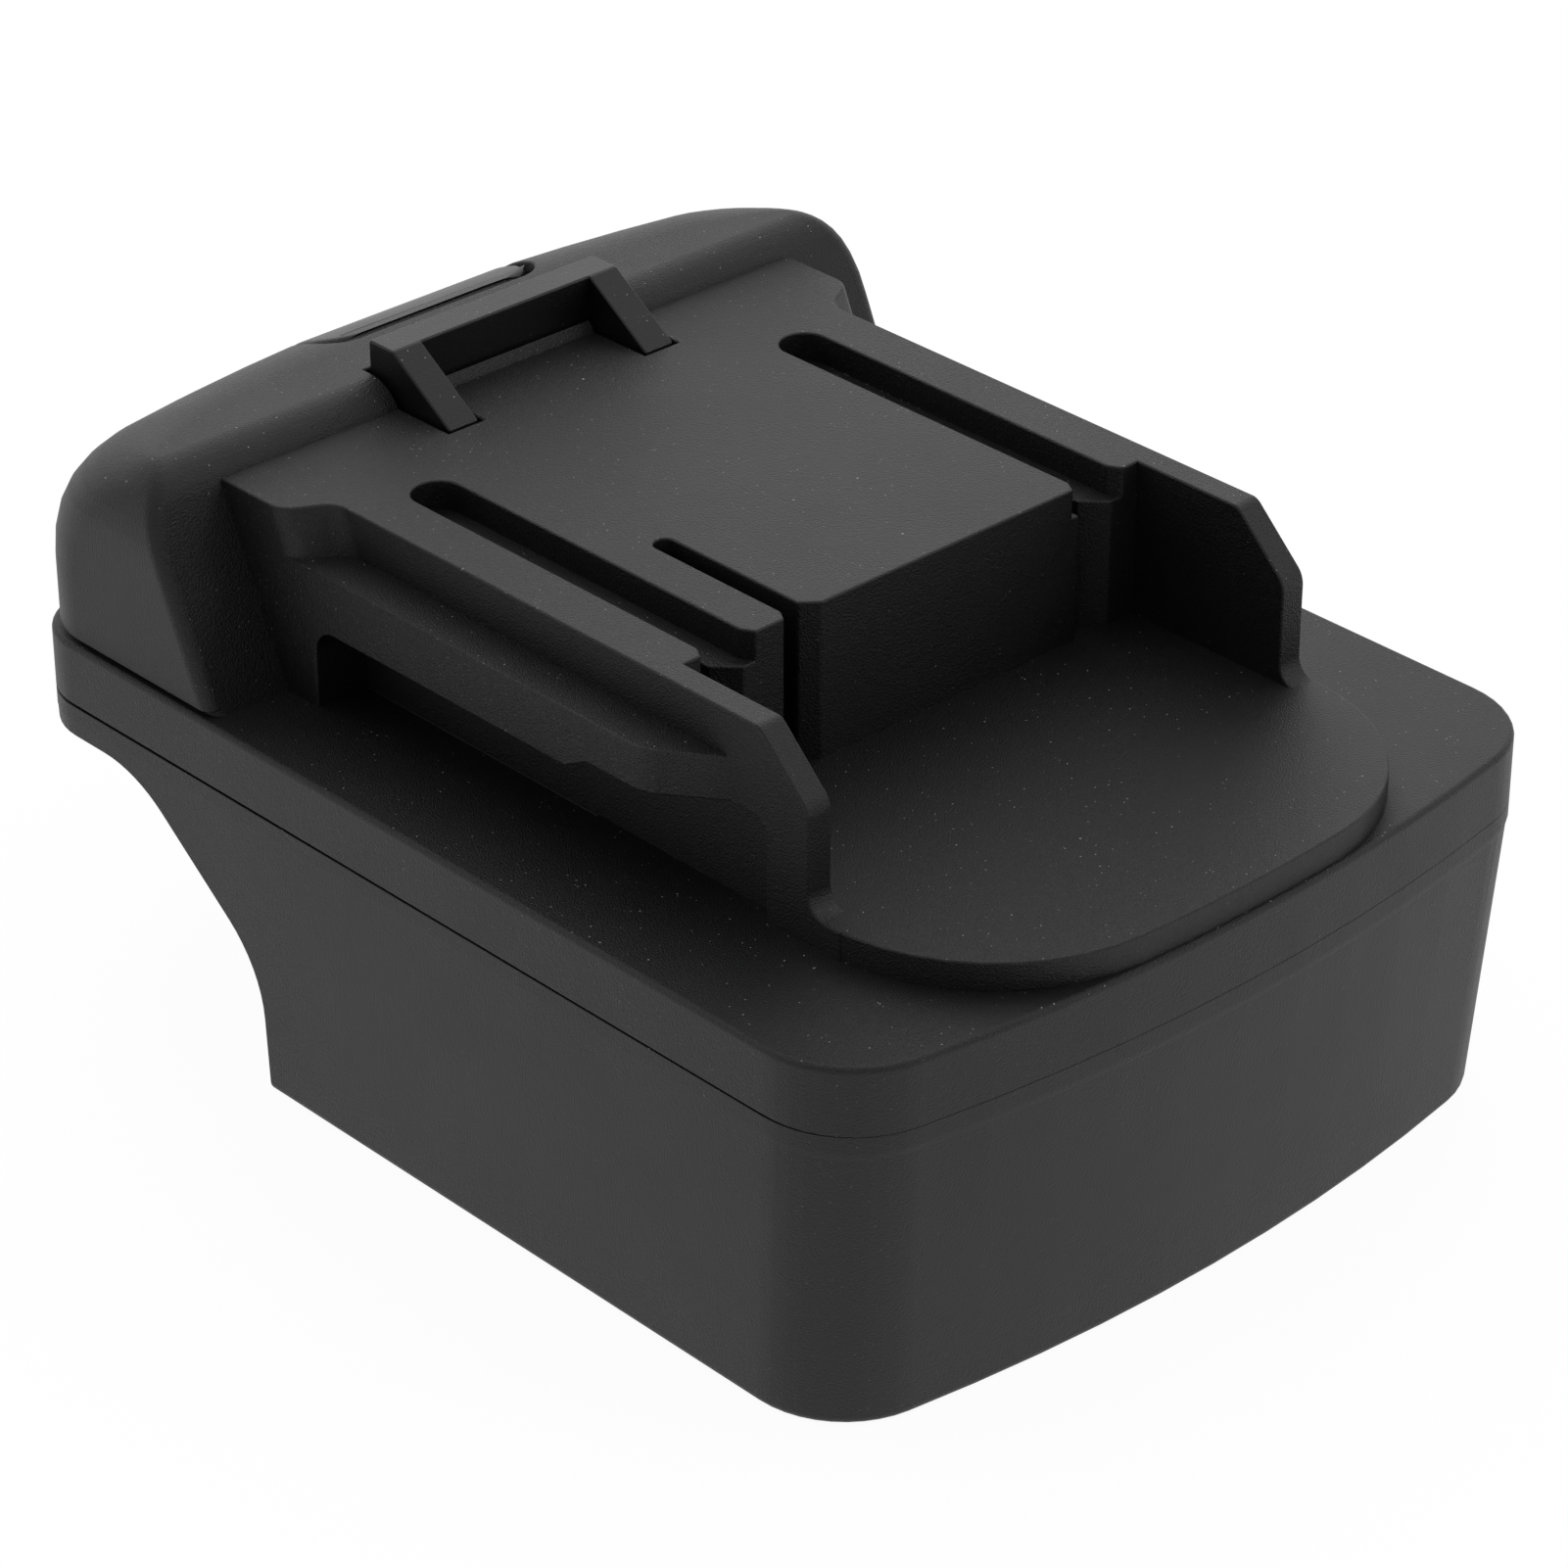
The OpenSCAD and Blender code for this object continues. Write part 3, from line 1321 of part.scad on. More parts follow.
lower_case();
upper_case();
slide_cover();
release_latch();
latch_spring_left();
latch_spring_right();
output_terminal_positive();
output_terminal_negative();
signal_terminal();
terminal_carrier();
carrier_screws();
circuit_board();
control_chip();
power_transistors();
board_resistors();
board_capacitor();
board_screws();
input_terminal_block();
input_blade_positive();
input_blade_negative();
input_blade_signal();
block_screws();
positive_lead();
negative_lead();
signal_lead();
cover_screws();
case_screws();
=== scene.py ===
"""Visual model of a slide-on tool battery adapter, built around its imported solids."""

import json
import math

import bmesh
import bpy
from bpy.props import FloatProperty, FloatVectorProperty, IntProperty, PointerProperty
from mathutils import Matrix, Vector


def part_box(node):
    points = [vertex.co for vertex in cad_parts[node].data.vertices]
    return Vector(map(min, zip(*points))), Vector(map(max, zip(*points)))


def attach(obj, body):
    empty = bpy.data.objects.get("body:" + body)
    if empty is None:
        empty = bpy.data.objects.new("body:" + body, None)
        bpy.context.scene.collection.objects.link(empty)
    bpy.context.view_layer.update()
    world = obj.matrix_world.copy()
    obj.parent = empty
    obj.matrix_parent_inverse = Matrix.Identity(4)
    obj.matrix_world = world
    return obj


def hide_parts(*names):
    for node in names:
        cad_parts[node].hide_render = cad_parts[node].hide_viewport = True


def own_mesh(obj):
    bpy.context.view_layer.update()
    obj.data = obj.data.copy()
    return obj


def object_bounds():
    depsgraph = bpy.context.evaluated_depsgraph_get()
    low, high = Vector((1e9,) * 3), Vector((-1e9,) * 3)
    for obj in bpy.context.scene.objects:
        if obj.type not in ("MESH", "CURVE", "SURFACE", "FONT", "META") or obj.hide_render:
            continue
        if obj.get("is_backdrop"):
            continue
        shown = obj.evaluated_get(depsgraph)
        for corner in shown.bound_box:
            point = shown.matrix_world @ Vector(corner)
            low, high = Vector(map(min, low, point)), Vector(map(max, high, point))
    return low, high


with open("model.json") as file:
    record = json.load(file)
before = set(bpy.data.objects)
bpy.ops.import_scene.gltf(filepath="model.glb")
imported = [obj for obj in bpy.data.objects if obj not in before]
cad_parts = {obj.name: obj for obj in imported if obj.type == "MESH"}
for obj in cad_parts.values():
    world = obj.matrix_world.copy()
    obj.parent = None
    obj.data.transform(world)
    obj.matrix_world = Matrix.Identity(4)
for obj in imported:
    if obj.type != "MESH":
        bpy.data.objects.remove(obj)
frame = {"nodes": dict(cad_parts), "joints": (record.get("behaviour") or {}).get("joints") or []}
cad_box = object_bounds()

bl_info = {
    "name": "Tool battery adapter",
    "version": (1, 0, 0),
    "blender": (4, 5, 0),
    "location": "View3D > Sidebar > Adapter",
    "description": "Builds the moulded shells, metal parts, finishes, camera and stage of a battery adapter",
    "category": "Add Mesh",
}

MM = 0.001


# Settings that a user would change

def length(name, description, default):
    """A size in metres."""
    return FloatProperty(name=name, description=description, default=default, min=0.0, precision=5,
                         unit="LENGTH")


def colour(name, description, default):
    """A linear colour."""
    return FloatVectorProperty(name=name, description=description, default=default, min=0.0, max=1.0,
                               subtype="COLOR")


def share(name, description, default):
    """A number from 0 to 1."""
    return FloatProperty(name=name, description=description, default=default, min=0.0, max=1.0,
                         subtype="FACTOR")


def power(name, description, default):
    """A lamp's power in watts."""
    return FloatProperty(name=name, description=description, default=default, min=0.0, unit="POWER")


class ADAPTER_PG_shapes(bpy.types.PropertyGroup):
    """Sizes of the rounded edges and of the wound and threaded parts."""

    edge_round: length("Edge rounding", "Radius of the cases' outer edges", 0.2 * MM)
    seam_round: length("Seam rounding", "Radius of the two edges at the seam", 0.05 * MM)
    seam_close: length("Seam closing", "How far the seam's gap closes round the front", 0.24 * MM)
    latch_round: length("Latch rounding", "Radius of the latch's edges", 0.2 * MM)
    button_round: length("Button rounding", "Radius of the button's upper edge", 1.0 * MM)
    sheet_round: length("Sheet rounding", "Radius of the edges of stamped metal", 0.08 * MM)
    wire_radius: length("Wire radius", "Radius of the spring's wire", 0.35 * MM)
    coil_turns: IntProperty(name="Coil turns", description="Turns of each spring", default=8, min=2)
    thread_pitch: length("Thread pitch", "Rise of a screw's thread for each turn", 1.0 * MM)


class ADAPTER_PG_finishes(bpy.types.PropertyGroup):
    """Colours and grain of the materials."""

    case_black: colour("Case black", "Black of the moulded cases", (0.004, 0.004, 0.0041))
    latch_black: colour("Latch black", "Black of the smooth latch", (0.005, 0.005, 0.0051))
    inner_black: colour("Inner black", "Black of the inner holders", (0.02, 0.02, 0.021))
    dust_grey: colour("Dust", "Colour of the dust specks", (0.6, 0.6, 0.58))
    brass: colour("Brass", "Colour of the spring contacts", (0.72, 0.52, 0.22))
    nickel: colour("Nickel", "Colour of the plated blades", (0.66, 0.64, 0.6))
    steel: colour("Steel", "Colour of the screws and springs", (0.5, 0.51, 0.53))
    aluminium: colour("Aluminium", "Colour of the capacitor's can", (0.72, 0.72, 0.74))
    board_green: colour("Board green", "Colour of the board's solder mask", (0.02, 0.13, 0.05))
    copper: colour("Copper", "Colour of the board's covered tracks", (0.06, 0.24, 0.08))
    chip_black: colour("Chip black", "Colour of the moulded chips", (0.016, 0.016, 0.017))
    lead_red: colour("Red lead", "Colour of the positive lead", (0.42, 0.02, 0.02))
    lead_blue: colour("Blue lead", "Colour of the negative lead", (0.02, 0.05, 0.28))
    lead_white: colour("White lead", "Colour of the signal lead", (0.72, 0.72, 0.68))
    grain_size: length("Grain size", "Width of the moulded grain", 0.15 * MM)
    grain_depth: length("Grain depth", "Depth of the moulded grain", 0.12 * MM)
    dust_size: length("Dust size", "Half the width of the smaller dust specks", 0.064 * MM)
    case_roughness: share("Case roughness", "Roughness of the moulded cases", 0.4)
    latch_roughness: share("Latch roughness", "Roughness of the latch", 0.34)


class ADAPTER_PG_stage(bpy.types.PropertyGroup):
    """Floor and light."""

    floor_size: length("Floor size", "Width of the floor", 6.0)
    floor_white: colour("Floor", "Colour of the floor", (0.86, 0.86, 0.86))
    floor_clear: share("Floor clearness", "How far the floor shows as plain white", 0.9)
    floor_glow: share("Floor glow", "Brightness of the floor in reflections", 0.8)
    room_light: share("Room light", "Strength of the light from the bright rear of the room", 0.75)
    front_light: share("Front light", "Strength of the light from the camera's side of the room", 0.28)
    rear_power: power("Rear lamp power", "Power of the large rear lamp", 3.6)
    rear_size: length("Rear lamp size", "Width of the large rear lamp", 1.6)
    front_power: power("Front lamp power", "Power of the small front lamp", 1.2)
    front_size: length("Front lamp size", "Width of the small front lamp", 0.35)


# Node trees

class Socket:
    """A node's output that takes part in plain arithmetic: each operation adds one Math node."""

    def __init__(self, tree, output):
        self.tree = tree
        self.output = output

    def other(self, name):
        """Another output of the same node."""
        return Socket(self.tree, self.output.node.outputs[name])

    def math(self, operation, first, second):
        return self.tree.node("ShaderNodeMath", {"operation": operation}, {0: first, 1: second})

    def __add__(self, value):
        return self.math("ADD", self, value)

    def __radd__(self, value):
        return self.math("ADD", value, self)

    def __sub__(self, value):
        return self.math("SUBTRACT", self, value)

    def __rsub__(self, value):
        return self.math("SUBTRACT", value, self)

    def __mul__(self, value):
        return self.math("MULTIPLY", self, value)

    def __rmul__(self, value):
        return self.math("MULTIPLY", value, self)

    def __truediv__(self, value):
        return self.math("DIVIDE", self, value)

    def __rtruediv__(self, value):
        return self.math("DIVIDE", value, self)

    def __pow__(self, value):
        return self.math("POWER", self, value)

    def __rpow__(self, value):
        return self.math("POWER", value, self)

    def __lt__(self, value):
        return self.math("LESS_THAN", self, value)

    def __gt__(self, value):
        return self.math("GREATER_THAN", self, value)


class Tree:
    """A node tree and the one method that adds nodes to it."""

    def __init__(self, tree):
        self.tree = tree

    def node(self, kind, settings=None, inputs=None, output=0):
        """Adds a node, sets it up, then fills or links its sockets, and gives one of its outputs."""
        made = self.tree.nodes.new(kind)
        for key, value in (settings or {}).items():
            setattr(made, key, value)
        for key, value in (inputs or {}).items():
            self.feed(made.inputs[key], value)
        return Socket(self, made.outputs[output]) if len(made.outputs) else made

    def feed(self, socket, value):
        """Links a socket, or sets its own value where that is a plain one."""
        if isinstance(value, Socket):
            self.tree.links.new(value.output, socket)
        else:
            socket.default_value = value

    def ramp(self, value, low, high):
        """A smooth step from 0 at low to 1 at high."""
        return self.node("ShaderNodeMapRange", {"interpolation_type": "SMOOTHSTEP"},
                         {"Value": value, "From Min": low, "From Max": high})

    def mix_colour(self, factor, first, second):
        """A colour between two, each a socket or three numbers."""
        fill = [value if isinstance(value, Socket) else (*value, 1.0) for value in (first, second)]
        return self.node("ShaderNodeMix", {"data_type": "RGBA"}, {0: factor, 6: fill[0], 7: fill[1]}, 2)


class Finish(Tree):
    """A material with its shader, whose even values are set on the shader's own sockets."""

    def __init__(self, name, even=None):
        self.material = bpy.data.materials.new(name)
        self.material.use_nodes = True
        super().__init__(self.material.node_tree)
        self.shader = self.tree.nodes["Principled BSDF"]
        for key, value in (even or {}).items():
            self.set(key, value)

    def set(self, name, value):
        """Sets or links one of the shader's sockets."""
        if isinstance(value, tuple) and len(value) == 3:
            value = (*value, 1.0)
        self.feed(self.shader.inputs[name], value)

    def place(self):
        """A point's place on the object."""
        return self.node("ShaderNodeTexCoord", output="Object")

    def noise(self, size, detail=2.0, roughness=0.5, place=None):
        """Even noise whose lumps are about as wide as size."""
        return self.node("ShaderNodeTexNoise", {"noise_dimensions": "3D"},
                         {"Vector": place or self.place(), "Scale": 1.0 / size, "Detail": detail,
                          "Roughness": roughness})

    def bump(self, height, depth):
        """Feeds the shader's normal from a height."""
        self.set("Normal", self.node("ShaderNodeBump", None, {"Height": height, "Distance": depth}))

    def upward(self):
        """How far a surface faces up, from 0 to 1."""
        normal = self.node("ShaderNodeNewGeometry", output="Normal")
        up = self.node("ShaderNodeSeparateXYZ", None, {0: normal}, "Z")
        return self.ramp(up, 0.2, 0.9)


class Growth(Tree):
    """A Geometry Nodes tree with named sizes, and the plain mesh that it makes."""

    def __init__(self, name):
        super().__init__(bpy.data.node_groups.new(name, "GeometryNodeTree"))
        self.tree.is_modifier = True
        self.tree.interface.new_socket("Geometry", in_out="INPUT", socket_type="NodeSocketGeometry")
        self.tree.interface.new_socket("Geometry", in_out="OUTPUT", socket_type="NodeSocketGeometry")
        self.start = self.tree.nodes.new("NodeGroupInput")
        self.keys = {}

    def size(self, name):
        """A named input, which the modifier gives its value."""
        made = self.tree.interface.new_socket(name, in_out="INPUT", socket_type="NodeSocketFloat")
        self.keys[name] = made.identifier
        return Socket(self, self.start.outputs[name])

    def points(self):
        """The geometry that comes in."""
        return Socket(self, self.start.outputs["Geometry"])

    def close(self, geometry, material):
        """Ends the tree: everything is made real and gets its material."""
        real = self.node("GeometryNodeRealizeInstances", None, {0: geometry})
        finished = self.node("GeometryNodeSetMaterial", None, {"Geometry": real, "Material": material})
        end = self.tree.nodes.new("NodeGroupOutput")
        self.feed(end.inputs[0], finished)

    def upright(self, x, y, z):
        """Three numbers as one vector."""
        return self.node("ShaderNodeCombineXYZ", None, {"X": x, "Y": y, "Z": z})

    def moved(self, geometry, place, turn=(0.0, 0.0, 0.0)):
        """Geometry at a place, turned."""
        return self.node("GeometryNodeTransform", None,
                         {"Geometry": geometry, "Translation": place, "Rotation": turn})

    def circle(self, corners, radius):
        """The outline of a round wire."""
        return self.node("GeometryNodeCurvePrimitiveCircle", None, {"Resolution": corners, "Radius": radius})

    def tube(self, line, outline):
        """An outline drawn along a line, closed at its ends."""
        return self.node("GeometryNodeCurveToMesh", None,
                         {"Curve": line, "Profile Curve": outline, "Fill Caps": True})

    def on_points(self, part, **settings):
        """A part set on each point that comes in."""
        return self.node("GeometryNodeInstanceOnPoints", None,
                         {"Points": self.points(), "Instance": part, **settings})

    def joined(self, *parts):
        """Several geometries as one."""
        made = self.tree.nodes.new("GeometryNodeJoinGeometry")
        for part in parts:
            self.feed(made.inputs[0], part)
        return Socket(self, made.outputs[0])

    def mesh(self, name, source, values):
        """Runs the tree on a source mesh with these sizes and gives the result as a new object."""
        carrier = new_object(name, source)
        modifier = carrier.modifiers.new("growth", "NODES")
        modifier.node_group = self.tree
        for key, value in values.items():
            modifier[self.keys[key]] = value
        return made_plain(carrier)


# Meshes

def new_object(name, mesh):
    """An object of that mesh at the origin."""
    made = bpy.data.objects.new(name, mesh)
    bpy.context.scene.collection.objects.link(made)
    return made


def made_plain(carrier):
    """The object with what its modifiers make as its own mesh."""
    seen = carrier.evaluated_get(bpy.context.evaluated_depsgraph_get())
    mesh = bpy.data.meshes.new_from_object(seen)
    carrier.modifiers.clear()
    carrier.data = mesh
    mesh.name = carrier.name
    return carrier


def merged_copy(node):
    """A CAD node's mesh with its loose triangles joined and its flat faces whole."""
    weld = 0.002 * MM
    flat = math.radians(0.3)
    copy = bmesh.new()
    copy.from_mesh(frame["nodes"][node].data)
    bmesh.ops.remove_doubles(copy, verts=copy.verts, dist=weld)
    bmesh.ops.dissolve_degenerate(copy, edges=copy.edges, dist=weld)
    bmesh.ops.dissolve_limit(copy, angle_limit=flat, verts=copy.verts, edges=copy.edges)
    return copy


def rounded_copy(node, name, radius, material, segments=3, share_of=None, shift=None):
    """A copy of a CAD node with rounded outer edges, each by the whole radius or by a share of it."""
    sharp = math.radians(30)
    copy = merged_copy(node)
    if shift:
        for vert in copy.verts:
            shift(vert)
        copy.normal_update()
    weight = copy.edges.layers.float.new("bevel_weight_edge")
    for edge in copy.edges:
        if edge.is_convex and edge.calc_face_angle(0.0) > sharp:
            edge[weight] = share_of(edge) if share_of else 1.0
    mesh = bpy.data.meshes.new(name)
    copy.to_mesh(mesh)
    copy.free()
    piece = new_object(name, mesh)
    bevel = piece.modifiers.new("edges", "BEVEL")
    bevel.limit_method = "WEIGHT"
    bevel.width = radius
    bevel.segments = segments
    bevel.use_clamp_overlap = False
    bevel.miter_outer = "MITER_ARC"
    made_plain(piece)
    smooth(piece)
    piece.data.materials.clear()
    piece.data.materials.append(material)
    return piece


def smooth(piece, limit=50):
    """Smooth shading: each corner takes the lie of the larger faces about it that turn less than a limit."""
    mesh = piece.data
    mesh.shade_smooth()
    around = [[] for _ in mesh.vertices]
    faces = [(face.normal.copy(), (face.area / MM ** 2) ** 2, tuple(face.vertices)) for face in mesh.polygons]
    for face in faces:
        for vert in face[2]:
            around[vert].append(face)
    turn = math.cos(math.radians(limit))
    normals = []
    for normal, _, verts in faces:
        for vert in verts:
            lie = Vector()
            for near, weight, _ in around[vert]:
                if near.dot(normal) > turn:
                    lie += weight * near
            normals.append(lie.normalized() if lie.length > 0.0 else normal)
    mesh.normals_split_custom_set(normals)


def islands(node):
    """The separate solids of a CAD node, each as its points, in a fixed order."""
    copy = merged_copy(node)
    left = set(copy.verts)
    found = []
    while left:
        reached = [left.pop()]
        points = []
        while reached:
            vert = reached.pop()
            points.append(vert.co.copy())
            near = {edge.other_vert(vert) for edge in vert.link_edges} & left
            left -= near
            reached.extend(near)
        found.append(sorted(points, key=tuple))
    copy.free()
    return sorted(found, key=lambda points: tuple(points[0]))


def screw_sizes(points):
    """Seat, length, turn and radii of one screw, read from its points."""
    rim_share = 0.95
    tip_reach = 0.01 * MM
    x = (min(p.x for p in points) + max(p.x for p in points)) / 2
    y = (min(p.y for p in points) + max(p.y for p in points)) / 2
    away = [math.hypot(p.x - x, p.y - y) for p in points]
    head_r = max(away)
    head = [p.z for p, r in zip(points, away) if r > rim_share * head_r]
    low = min(p.z for p in points)
    high = max(p.z for p in points)
    shank_up = high - max(head) > min(head) - low
    seat = max(head) if shank_up else min(head)
    tip = high if shank_up else low
    return {
        "seat": (x, y, seat), "length": abs(tip - seat), "turn": 0.0 if shank_up else math.pi,
        "head_r": head_r, "head_h": max(head) - min(head),
        "shank_r": max(r for p, r in zip(points, away) if abs(p.z - tip) < tip_reach),
    }


def route_of(node, sides=8):
    """The middle line and the radius of a lead that runs along Y, from its rings of points."""
    points = sorted(islands(node)[0], key=lambda p: p.y)
    rings = [points[i:i + sides] for i in range(0, len(points), sides)]
    middles = [sum(ring, Vector()) / sides for ring in rings]
    return middles, (rings[0][0] - middles[0]).length


def faces_out(face, place):
    """Whether an upright face at a place looks away from the middle."""
    lean = 0.1
    return abs(face.normal.z) < lean and face.normal.x * place.x + face.normal.y * place.y > 0.0


def stands_for(piece, body, slot, *nodes):
    """Ties a piece to its body in place of its CAD nodes; the finish slot that it is given is not used."""
    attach(piece, body)
    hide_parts(*nodes)


# Finishes

def shade(tint, factor):
    """A colour made darker or lighter."""
    return tuple(factor * channel for channel in tint)


def moulded_plastic(name, black, roughness, grain_depth):
    """Black moulded plastic: fine grain, slight cloudiness, dust specks on what faces up."""
    look = bpy.context.scene.adapter_finishes
    cloud_size = 9 * MM
    fine_spacing = 0.5 * MM
    wide_spacing = 2.0 * MM
    finish = Finish(name)
    place = finish.place()
    grain = finish.noise(look.grain_size, 2.0, 0.55, place)
    cloud = finish.noise(cloud_size, 3.0, 0.6, place)
    dust = 0.0
    for spacing, largest in ((fine_spacing, look.dust_size), (wide_spacing, 1.5 * look.dust_size)):
        specks = finish.node("ShaderNodeTexVoronoi", {"feature": "F1", "distance": "EUCLIDEAN"},
                             {"Vector": place, "Scale": 1.0 / spacing})
        size = finish.node("ShaderNodeSeparateColor", None, {0: specks.other("Color")}, "Red")
        dust = (specks < largest / spacing * size ** 1.6) * (0.1 + 0.6 * size) + dust
    dust = dust * (0.25 + 0.75 * finish.upward())
    tone = finish.mix_colour(finish.ramp(cloud, 0.3, 0.75), shade(black, 0.85), shade(black, 1.15))
    finish.set("Base Color", finish.mix_colour(dust, tone, look.dust_grey[:]))
    finish.set("Roughness", roughness - 0.05 + cloud * 0.1 + dust * 0.3)
    finish.bump(grain, grain_depth)
    return finish.material


def bright_metal(name, tint, roughness, streak):
    """Drawn or stamped metal with fine streaks and slight dulling."""
    dull_size = 1.6 * MM
    line_width = 0.1 * MM
    line_depth = 0.004 * MM
    finish = Finish(name, {"Metallic": 1.0})
    place = finish.place()
    dull = finish.noise(dull_size, 4.0, 0.6, place)
    stretched = finish.node("ShaderNodeMapping", None, {"Vector": place, "Scale": streak})
    lines = finish.noise(line_width, 2.0, 0.5, stretched)
    finish.set("Base Color", finish.mix_colour(finish.ramp(dull, 0.35, 0.7), tint, shade(tint, 0.72)))
    finish.set("Roughness", roughness + 0.16 * dull + 0.08 * lines)
    finish.bump(lines, line_depth)
    return finish.material


def sheath(name, tint):
    """Extruded lead cover with a faint sheen and a few scuffs."""
    scuff_size = 1.2 * MM
    scuff_depth = 0.01 * MM
    finish = Finish(name, {"Specular IOR Level": 0.45})
    scuff = finish.noise(scuff_size, 4.0, 0.65)
    finish.set("Base Color", finish.mix_colour(finish.ramp(scuff, 0.4, 0.8), tint, shade(tint, 0.7)))
    finish.set("Roughness", 0.4 + 0.25 * scuff)
    finish.bump(scuff, scuff_depth)
    return finish.material


def solder_mask(name, green, track):
    """Board lacquer over tracks that run square to one another."""
    cell_size = 2.4 * MM
    cloud_size = 3 * MM
    track_depth = 0.03 * MM
    tracks_in_cell = 24.0
    finish = Finish(name)
    place = finish.place()
    cells = finish.node("ShaderNodeTexVoronoi", {"feature": "F1", "distance": "CHEBYCHEV"},
                        {"Vector": place, "Scale": 1.0 / cell_size})
    waves = finish.node("ShaderNodeMath", {"operation": "SINE"}, {0: cells * tracks_in_cell})
    lines = finish.ramp(waves, 0.2, 0.5)
    finish.set("Base Color", finish.mix_colour(lines, green, track))
    finish.set("Roughness", 0.3 + 0.15 * finish.noise(cloud_size, 2.0, 0.5, place))
    finish.bump(lines, track_depth)
    return finish.material


def chip_epoxy(name, black):
    """Moulded epoxy with a fine sandy face."""
    sand_size = 0.08 * MM
    sand_depth = 0.01 * MM
    finish = Finish(name, {"Specular IOR Level": 0.4})
    sand = finish.noise(sand_size, 2.0, 0.6)
    finish.set("Base Color", finish.mix_colour(sand, shade(black, 0.8), shade(black, 1.3)))
    finish.set("Roughness", 0.5 + 0.2 * sand)
    finish.bump(sand, sand_depth)
    return finish.material


# Pieces

class ADAPTER_OT_camera(bpy.types.Operator):
    """Sets the camera where the photographer stood"""

    bl_idname = "adapter.camera"
    bl_label = "Camera"

    def execute(self, context):
        azimuth = math.radians(-43.17)
        elevation = math.radians(30.157)
        roll = math.radians(0.037)
        across = 0.959 * MM
        above = 18.568 * MM
        away = 441.16 * MM
        focal_pixels = 5529.7
        photo_pixels = 1601
        right = Vector((math.cos(azimuth), math.sin(azimuth), 0.0))
        back = Vector((math.sin(azimuth) * math.cos(elevation), -math.cos(azimuth) * math.cos(elevation),
                       math.sin(elevation)))
        up = back.cross(right)
        level = math.cos(roll) * right + math.sin(roll) * up
        upright = math.cos(roll) * up - math.sin(roll) * right
        eye = across * level + above * upright + away * back
        lens = bpy.data.cameras.new("camera")
        lens.sensor_width = 36.0
        lens.lens = focal_pixels / photo_pixels * 36.0
        lens.clip_start = 0.01
        camera = bpy.data.objects.new("camera", lens)
        turn = Matrix((level, upright, back)).transposed()
        camera.matrix_world = Matrix.Translation(eye) @ turn.to_4x4()
        context.scene.collection.objects.link(camera)
        context.scene.camera = camera
        return {"FINISHED"}


class ADAPTER_OT_cases(bpy.types.Operator):
    """Makes the lower case, the upper case and the slide cover with rounded moulded edges"""

    bl_idname = "adapter.cases"
    bl_label = "Cases"

    def execute(self, context):
        shape = context.scene.adapter_shapes
        look = context.scene.adapter_finishes
        plastic = moulded_plastic("moulded_case", look.case_black[:], look.case_roughness, look.grain_depth)
        seam_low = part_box("upper_case")[0].z - 0.4 * MM
        seam_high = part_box("upper_case")[0].z + 0.1 * MM
        seam_share = shape.seam_round / shape.edge_round
        close_from = -34 * MM
        close_over = 13 * MM
        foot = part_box("slide_cover")[0].z + 0.01 * MM
        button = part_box("release_latch")[1]
        rim_half = button.x + 1.2 * MM
        rim_front = button.y - 3 * MM
        slack = Vector((0.4 * MM, 0.4 * MM, 0.0))
        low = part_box("terminal_carrier")[0] - slack
        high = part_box("terminal_carrier")[1] + slack

        def share_of(edge):
            at_seam = all(seam_low < v.co.z < seam_high for v in edge.verts)
            return seam_share if at_seam else 1.0

        def share_of_deck(edge):
            at_opening = all(low.x < v.co.x < high.x and v.co.y > low.y for v in edge.verts)
            return 0.0 if at_opening else share_of(edge)

        def share_of_cover(edge):
            at_foot = all(v.co.z < foot for v in edge.verts)
            at_button = all(abs(v.co.x) < rim_half and v.co.y > rim_front for v in edge.verts)
            return 0.0 if at_foot or at_button else 1.0

        def close_seam(vert):
            if vert.co.z > seam_high or not any(faces_out(face, vert.co) for face in vert.link_faces):
                return
            way = min(max((close_from - vert.co.y) / close_over, 0.0), 1.0)
            vert.co.z -= shape.seam_close * way * way * (3.0 - 2.0 * way)

        shares = {"lower_case": share_of, "upper_case": share_of_deck, "slide_cover": share_of_cover}
        for node, edges in shares.items():
            shift = close_seam if node == "upper_case" else None
            piece = rounded_copy(node, node + "_moulded", shape.edge_round, plastic, 3, edges, shift)
            stands_for(piece, "housing", "case_plastic", node)
        return {"FINISHED"}


class ADAPTER_OT_latch(bpy.types.Operator):
    """Makes the release latch with its hook and button"""

    bl_idname = "adapter.latch"
    bl_label = "Release latch"

    def execute(self, context):
        shape = context.scene.adapter_shapes
        look = context.scene.adapter_finishes
        plastic = moulded_plastic("moulded_latch", look.latch_black[:], look.latch_roughness,
                                  0.3 * look.grain_depth)
        low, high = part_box("release_latch")
        middle = (low.y + high.y) / 2
        button_low = high.z - 6 * MM

        def share_of(edge):
            on_button = all(v.co.y > middle and v.co.z > button_low for v in edge.verts)
            return 1.0 if on_button else shape.latch_round / shape.button_round

        piece = rounded_copy("release_latch", "release_latch_moulded", shape.button_round, plastic, 4,
                             share_of)
        stands_for(piece, "latch", "latch_plastic", "release_latch")
        return {"FINISHED"}


